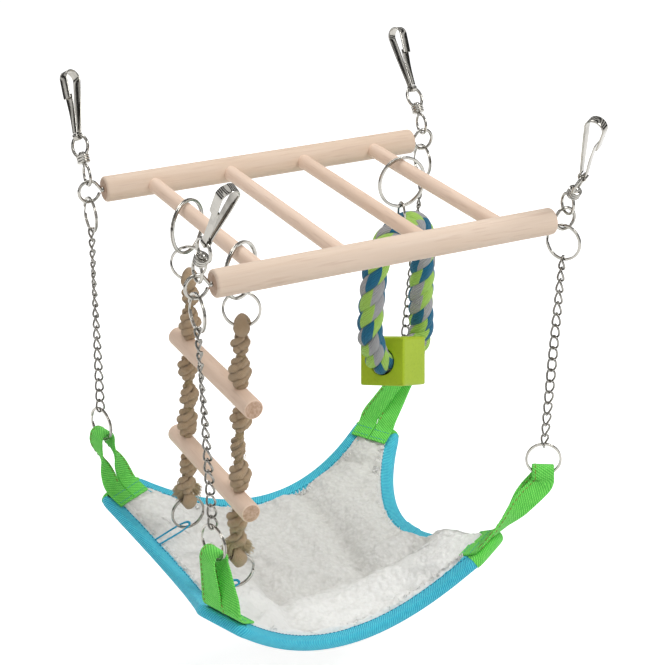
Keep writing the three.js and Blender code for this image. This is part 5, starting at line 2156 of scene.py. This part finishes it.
@dataclass
class ChewToy:
    """Large ring, wire link, looped three-colour rope and painted block."""

    place: float = 35.0
    turn: float = 31.5
    link_wire: float = 1.4
    link_width: float = 9.0
    rope_diameter: float = 15.0
    rope_below: float = 4.5
    block: float = 28.5
    block_round: float = 1.0
    bore_clearance: float = 0.6
    drop: float = 85.0
    loop_half: float = 29.5
    tilt: float = 20.0
    roll: float = -12.0
    drift: float = 4.0
    pitches: tuple[float, float] = (33.0, 25.0)
    ring_z: float = 4.3 - LARGE_RING.clear

    @property
    def rope_top(self) -> float:
        """Middle of the rope at the top of its loop."""
        return self.ring_z - LARGE_RING.diameter / 2 - self.rope_below - self.rope_diameter / 2

    def at(self, height: float) -> Array:
        """The place straight below the rung at a height."""
        return np.array([LEVELS.last_rung, self.place, height])

    def build(self) -> None:
        """Makes the ring, the link, the rope and the block."""
        ring = LARGE_RING.surface(self.at(self.ring_z), -90.0)
        make_piece("toy_ring_coiled", ring, NICKEL, "toy_ring", ["toy_ring"])
        link_top = self.ring_z - LARGE_RING.inner + LEVELS.clearance + self.link_wire / 2
        middle = self.at((link_top + self.rope_top) / 2)
        reach = (self.link_width - self.link_wire) / 2
        line = oval_line(middle, BACK, UP, reach, (link_top - self.rope_top) / 2, 56)
        bent = wire(line, self.link_wire, RIGHT, True)
        self.rope(make_piece("toy_link_bent", bent, NICKEL, "toy_rope", ["toy_link"]))
        self.cube()

    def rope(self, link: Piece) -> None:
        """Makes the looped rope of three coloured strands.

        Args:
            link: The wire link that hangs it; not used.
        """
        half, girth, wide, drop = self.block / 2, self.rope_diameter, self.loop_half, self.drop
        route = np.array(
            [
                (0.0, 0.0),
                (0.49 * wide, 0.03 * drop),
                (0.81 * wide, 0.11 * drop),
                (0.95 * wide, 0.26 * drop),
                (wide, 0.45 * drop),
                (wide, 0.66 * drop),
                (wide, drop - girth),
                (half + 0.57 * girth, drop - 0.25 * girth),
                (half + 0.14 * girth, drop),
                (0.7 * half, drop),
                (0.3, drop),
            ]
        )
        both = np.vstack([route[::-1] * np.array([-1.0, 1.0]), route[1:]])
        reach, below = both[:, :1], both[:, 1:] - drop
        angle = radians(self.tilt) * smoothstep(below, -2 * girth, -0.3 * girth)
        across = reach * np.cos(angle) - below * np.sin(angle)
        rise = -below * np.cos(angle) - reach * np.sin(angle)
        share = both[:, 1:] / drop
        drift = share * self.drift * heading(self.turn + 90)
        points = self.at(self.rope_top - drop) + across * heading(self.turn) + drift + rise * UP
        line = respaced(smooth_line(points, 24), 420)
        cord = make_piece("toy_rope_laid", self.strands(line), TOY_YARN, "toy_rope", ["toy_rope"], 60.0)
        tuple(placed(line[0]))
        float(run_of(line)[-1]) * MM
        placed(np.vstack([line[::6], line[-1]]))

    def strands(self, line: Array) -> Surface:
        """Three oval strands on helices about the rope's line, the turns closing up from end to end.

        Args:
            line: The rope's middle line.

        Returns:
            The strands.
        """
        first, second = sides_of(line, np.cross(heading(self.turn), UP))
        run = run_of(line)
        low, high = self.pitches
        turns = run / low + (1 / high - 1 / low) * run**2 / (2 * run[-1])
        radius = self.rope_diameter / 4
        section = circle(22) * np.array([radius, 1.12 * radius])
        made = []
        for k, shift in enumerate((0.0, 0.14, 0.52)):
            outward = between(2 * pi * (turns + k / 3), first, second)
            middle = line + (self.rope_diameter / 2 - radius) * outward
            made.append(swept(middle, *sides_of(middle, outward), section).toned(shift))
        return together(made)

    def cube(self) -> None:
        """Makes the block: a rounded cube with a round bore along the rope."""
        half, bore = self.block / 2, self.rope_diameter / 2 + self.bore_clearance
        place = self.at(self.rope_top - self.drop) + self.drift * heading(self.turn + 90)
        pose = turned_about("z", self.turn) @ turned_about("y", self.tilt) @ turned_about("x", self.roll)
        line = np.linspace(-half, half, 25)
        a, b = np.meshgrid(line, line, indexing="ij")
        faces = []
        for sign in (-1.0, 1.0):
            flat = np.full_like(a, sign * half)
            faces.append(self.patch(np.stack([a, flat, b], axis=-1)))
            faces.append(self.patch(np.stack([a, b, flat], axis=-1)))
            ray = rays(np.linspace(0.0, 2 * pi, 97))
            edge = ray * half / np.abs(ray).max(axis=1, keepdims=True)
            share = np.linspace(0.0, 1.0, 17)[:, None, None]
            spots = ray[None] * bore + share * (edge - ray * bore)[None]
            faces.append(self.patch(np.concatenate([np.full(spots.shape[:2] + (1,), sign * half), spots], axis=-1)))
        depth = np.linspace(-half, half, 9)[:, None]
        wall = np.stack(np.broadcast_arrays(depth, bore * ray[None, :, 0], bore * ray[None, :, 1]), axis=-1)
        whole = together([self.rounded(face, half, self.block_round) for face in faces] + [self.patch(wall)])
        whole.moved(pose, place)
        node = "toy_block"
        self.welded(make_piece(f"{node}_painted", whole, BLOCK_PAINT, node, [node], 50.0))

    @staticmethod
    def patch(grid: Array) -> Surface:
        """A grid of points as a surface."""
        quads, points = grid_quads(*grid.shape[:2]), grid.reshape(-1, 3)
        return Surface(points, quads, points[quads][..., 1:])

    @staticmethod
    def rounded(face: Surface, half: float, corner: float) -> Surface:
        """Pulls a cube's points on to its rounded form: the inner box plus a corner radius outwards."""
        inner = np.clip(face.points, -(half - corner), half - corner)
        face.points = inner + corner * unit(face.points - inner)
        return face

    @staticmethod
    def welded(piece: Piece) -> None:
        """Joins a piece's coincident points and turns its faces outwards.

        Args:
            piece: The piece.
        """
        work = bmesh.new()
        work.from_mesh(piece.data)
        bmesh.ops.remove_doubles(work, verts=work.verts, dist=1e-6)
        bmesh.ops.recalc_face_normals(work, faces=work.faces)
        work.to_mesh(piece.data)
        work.free()


@dataclass
class Studio:
    """Camera, lights, floor and background."""

    azimuth: float = -26.68
    elevation: float = 24.04
    camera: tuple[float, float, float] = (-0.38718, -0.78265, 0.25717)
    lens: float = 94.74
    sensor: float = 36.0
    floor: float = -0.33
    floor_reach: float = 6.0
    glow: float = 0.55
    card_reach: float = 2.4
    cards: tuple[tuple[float, float], ...] = ((-7.0, 12.0), (11.0, 11.0), (28.0, 11.0), (45.0, 11.0), (61.0, 10.0))

    def build(self) -> None:
        """Makes all of it."""
        self.shoot()
        self.light()
        self.flags()
        self.ground()

    def shoot(self) -> None:
        """Places the camera by its azimuth and elevation."""
        a, e = radians(self.azimuth), radians(self.elevation)
        right = Vector((cos(a), sin(a), 0.0))
        back = Vector((sin(a) * cos(e), -cos(a) * cos(e), sin(e)))
        data = bpy.data.cameras.new("photo_camera")
        data.lens = self.lens
        data.sensor_width = self.sensor
        data.clip_end = 20.0
        camera = bpy.data.objects.new("photo_camera", data)
        turn = Matrix((right, back.cross(right), back)).transposed()
        camera.matrix_world = Matrix.Translation(self.camera) @ turn.to_4x4()
        bpy.context.scene.collection.objects.link(camera)
        bpy.context.scene.camera = camera
        bpy.context.scene.view_settings.view_transform = "Standard"

    def light(self) -> None:
        """Three soft lamps and an even surround."""
        middle = Vector((-0.01, 0.0, -0.13))
        lamps = (
            ("key_lamp", (0.7, -0.8, 1.05), 0.6, 11.5),
            ("fill_lamp", (-1.0, -0.6, 0.5), 0.8, 1.8),
            ("back_lamp", (-0.1, 0.75, 1.15), 0.7, 7.5),
        )
        for name, place, size, power in lamps:
            data = bpy.data.lights.new(name, "AREA")
            data.size = size
            data.energy = power
            lamp = bpy.data.objects.new(name, data)
            lamp.location = place
            lamp.rotation_euler = (middle - lamp.location).to_track_quat("-Z", "Y").to_euler()
            bpy.context.scene.collection.objects.link(lamp)
        world = bpy.data.worlds.new("studio")
        world.use_nodes = True
        bpy.context.scene.world = world
        tree = Tree(world.node_tree)
        strength = tree.within(self.seen(tree), 0.0, 1.0, 0.4, 1.0)
        tree.feed(world.node_tree.nodes["Background"], Color=(1.0, 1.0, 1.0, 1.0), Strength=strength)

    @staticmethod
    def plain(name: str) -> tuple[bpy.types.Material, Tree, Node]:
        """A new material with its nodes and its shader."""
        material = bpy.data.materials.new(name)
        material.use_nodes = True
        return material, Tree(material.node_tree), material.node_tree.nodes["Principled BSDF"]

    @staticmethod
    def stand(name: str, points: list, faces: list, material: bpy.types.Material) -> Piece:
        """Puts a part of the set into the scene.

        Args:
            name: Its name.
            points: Its points in metres.
            faces: Its faces.
            material: Its material.

        Returns:
            The new object.
        """
        mesh = bpy.data.meshes.new(name)
        mesh.from_pydata(points, [], faces)
        mesh.materials.append(material)
        standing = bpy.data.objects.new(name, mesh)
        bpy.context.scene.collection.objects.link(standing)
        return standing

    def flags(self) -> None:
        """Dark cards round the set, seen only by metal: level bands of a cylinder about the upright axis."""
        material, tree, shader = self.plain("dark_card")
        tree.feed(shader, Base_Color=(0.02, 0.02, 0.02, 1.0), Specular_IOR_Level=0.0)
        ring = circle(48) * self.card_reach
        for rise, width in self.cards:
            levels = self.card_reach * np.tan(np.radians([rise, rise + width]))
            points = np.concatenate([np.column_stack([ring, np.full(48, z)]) for z in levels])
            flag = self.stand(f"dark_card_{rise:.0f}", points.tolist(), tube_quads(2, 48).tolist(), material)
            flag.visible_camera = False
            flag.visible_diffuse = False
            flag.visible_shadow = False

    @staticmethod
    def seen(tree: Tree) -> Socket:
        """One where a ray comes from the camera, or from metal or glass, and nought elsewhere."""
        path = tree.add("ShaderNodeLightPath")
        mirrored = tree.sum("MAXIMUM", path.outputs["Is Glossy Ray"], path.outputs["Is Transmission Ray"])
        return tree.sum("MAXIMUM", path.outputs["Is Camera Ray"], mirrored)

    def ground(self) -> None:
        """A plain pale floor well below the hanging part."""
        material, tree, shader = self.plain("pale_floor")
        tree.feed(shader, Base_Color=(0.93, 0.93, 0.93, 1.0), Roughness=0.9, Emission_Color=(1.0, 1.0, 1.0, 1.0))
        tree.feed(shader, Emission_Strength=tree.sum("MULTIPLY", self.seen(tree), self.glow))
        reach = self.floor_reach
        corners = [(reach * x, reach * y, self.floor) for x, y in ((-1, -1), (1, -1), (1, 1), (-1, 1))]
        self.stand("floor", corners, [(0, 1, 2, 3)], material)


def main() -> None:
    """Builds the studio and every sub-assembly."""
    logging.basicConfig(level=logging.INFO, format="%(message)s")
    Studio().build()
    hammock = Hammock()
    RopeLadder(hammock).build()
    ChewToy().build()
    hammock.build()
    WoodenBridge().build()
    for corner in CORNERS:
        SnapHook(corner).build()
        CornerChain(corner).build()


if __name__ == "__main__":
    main()
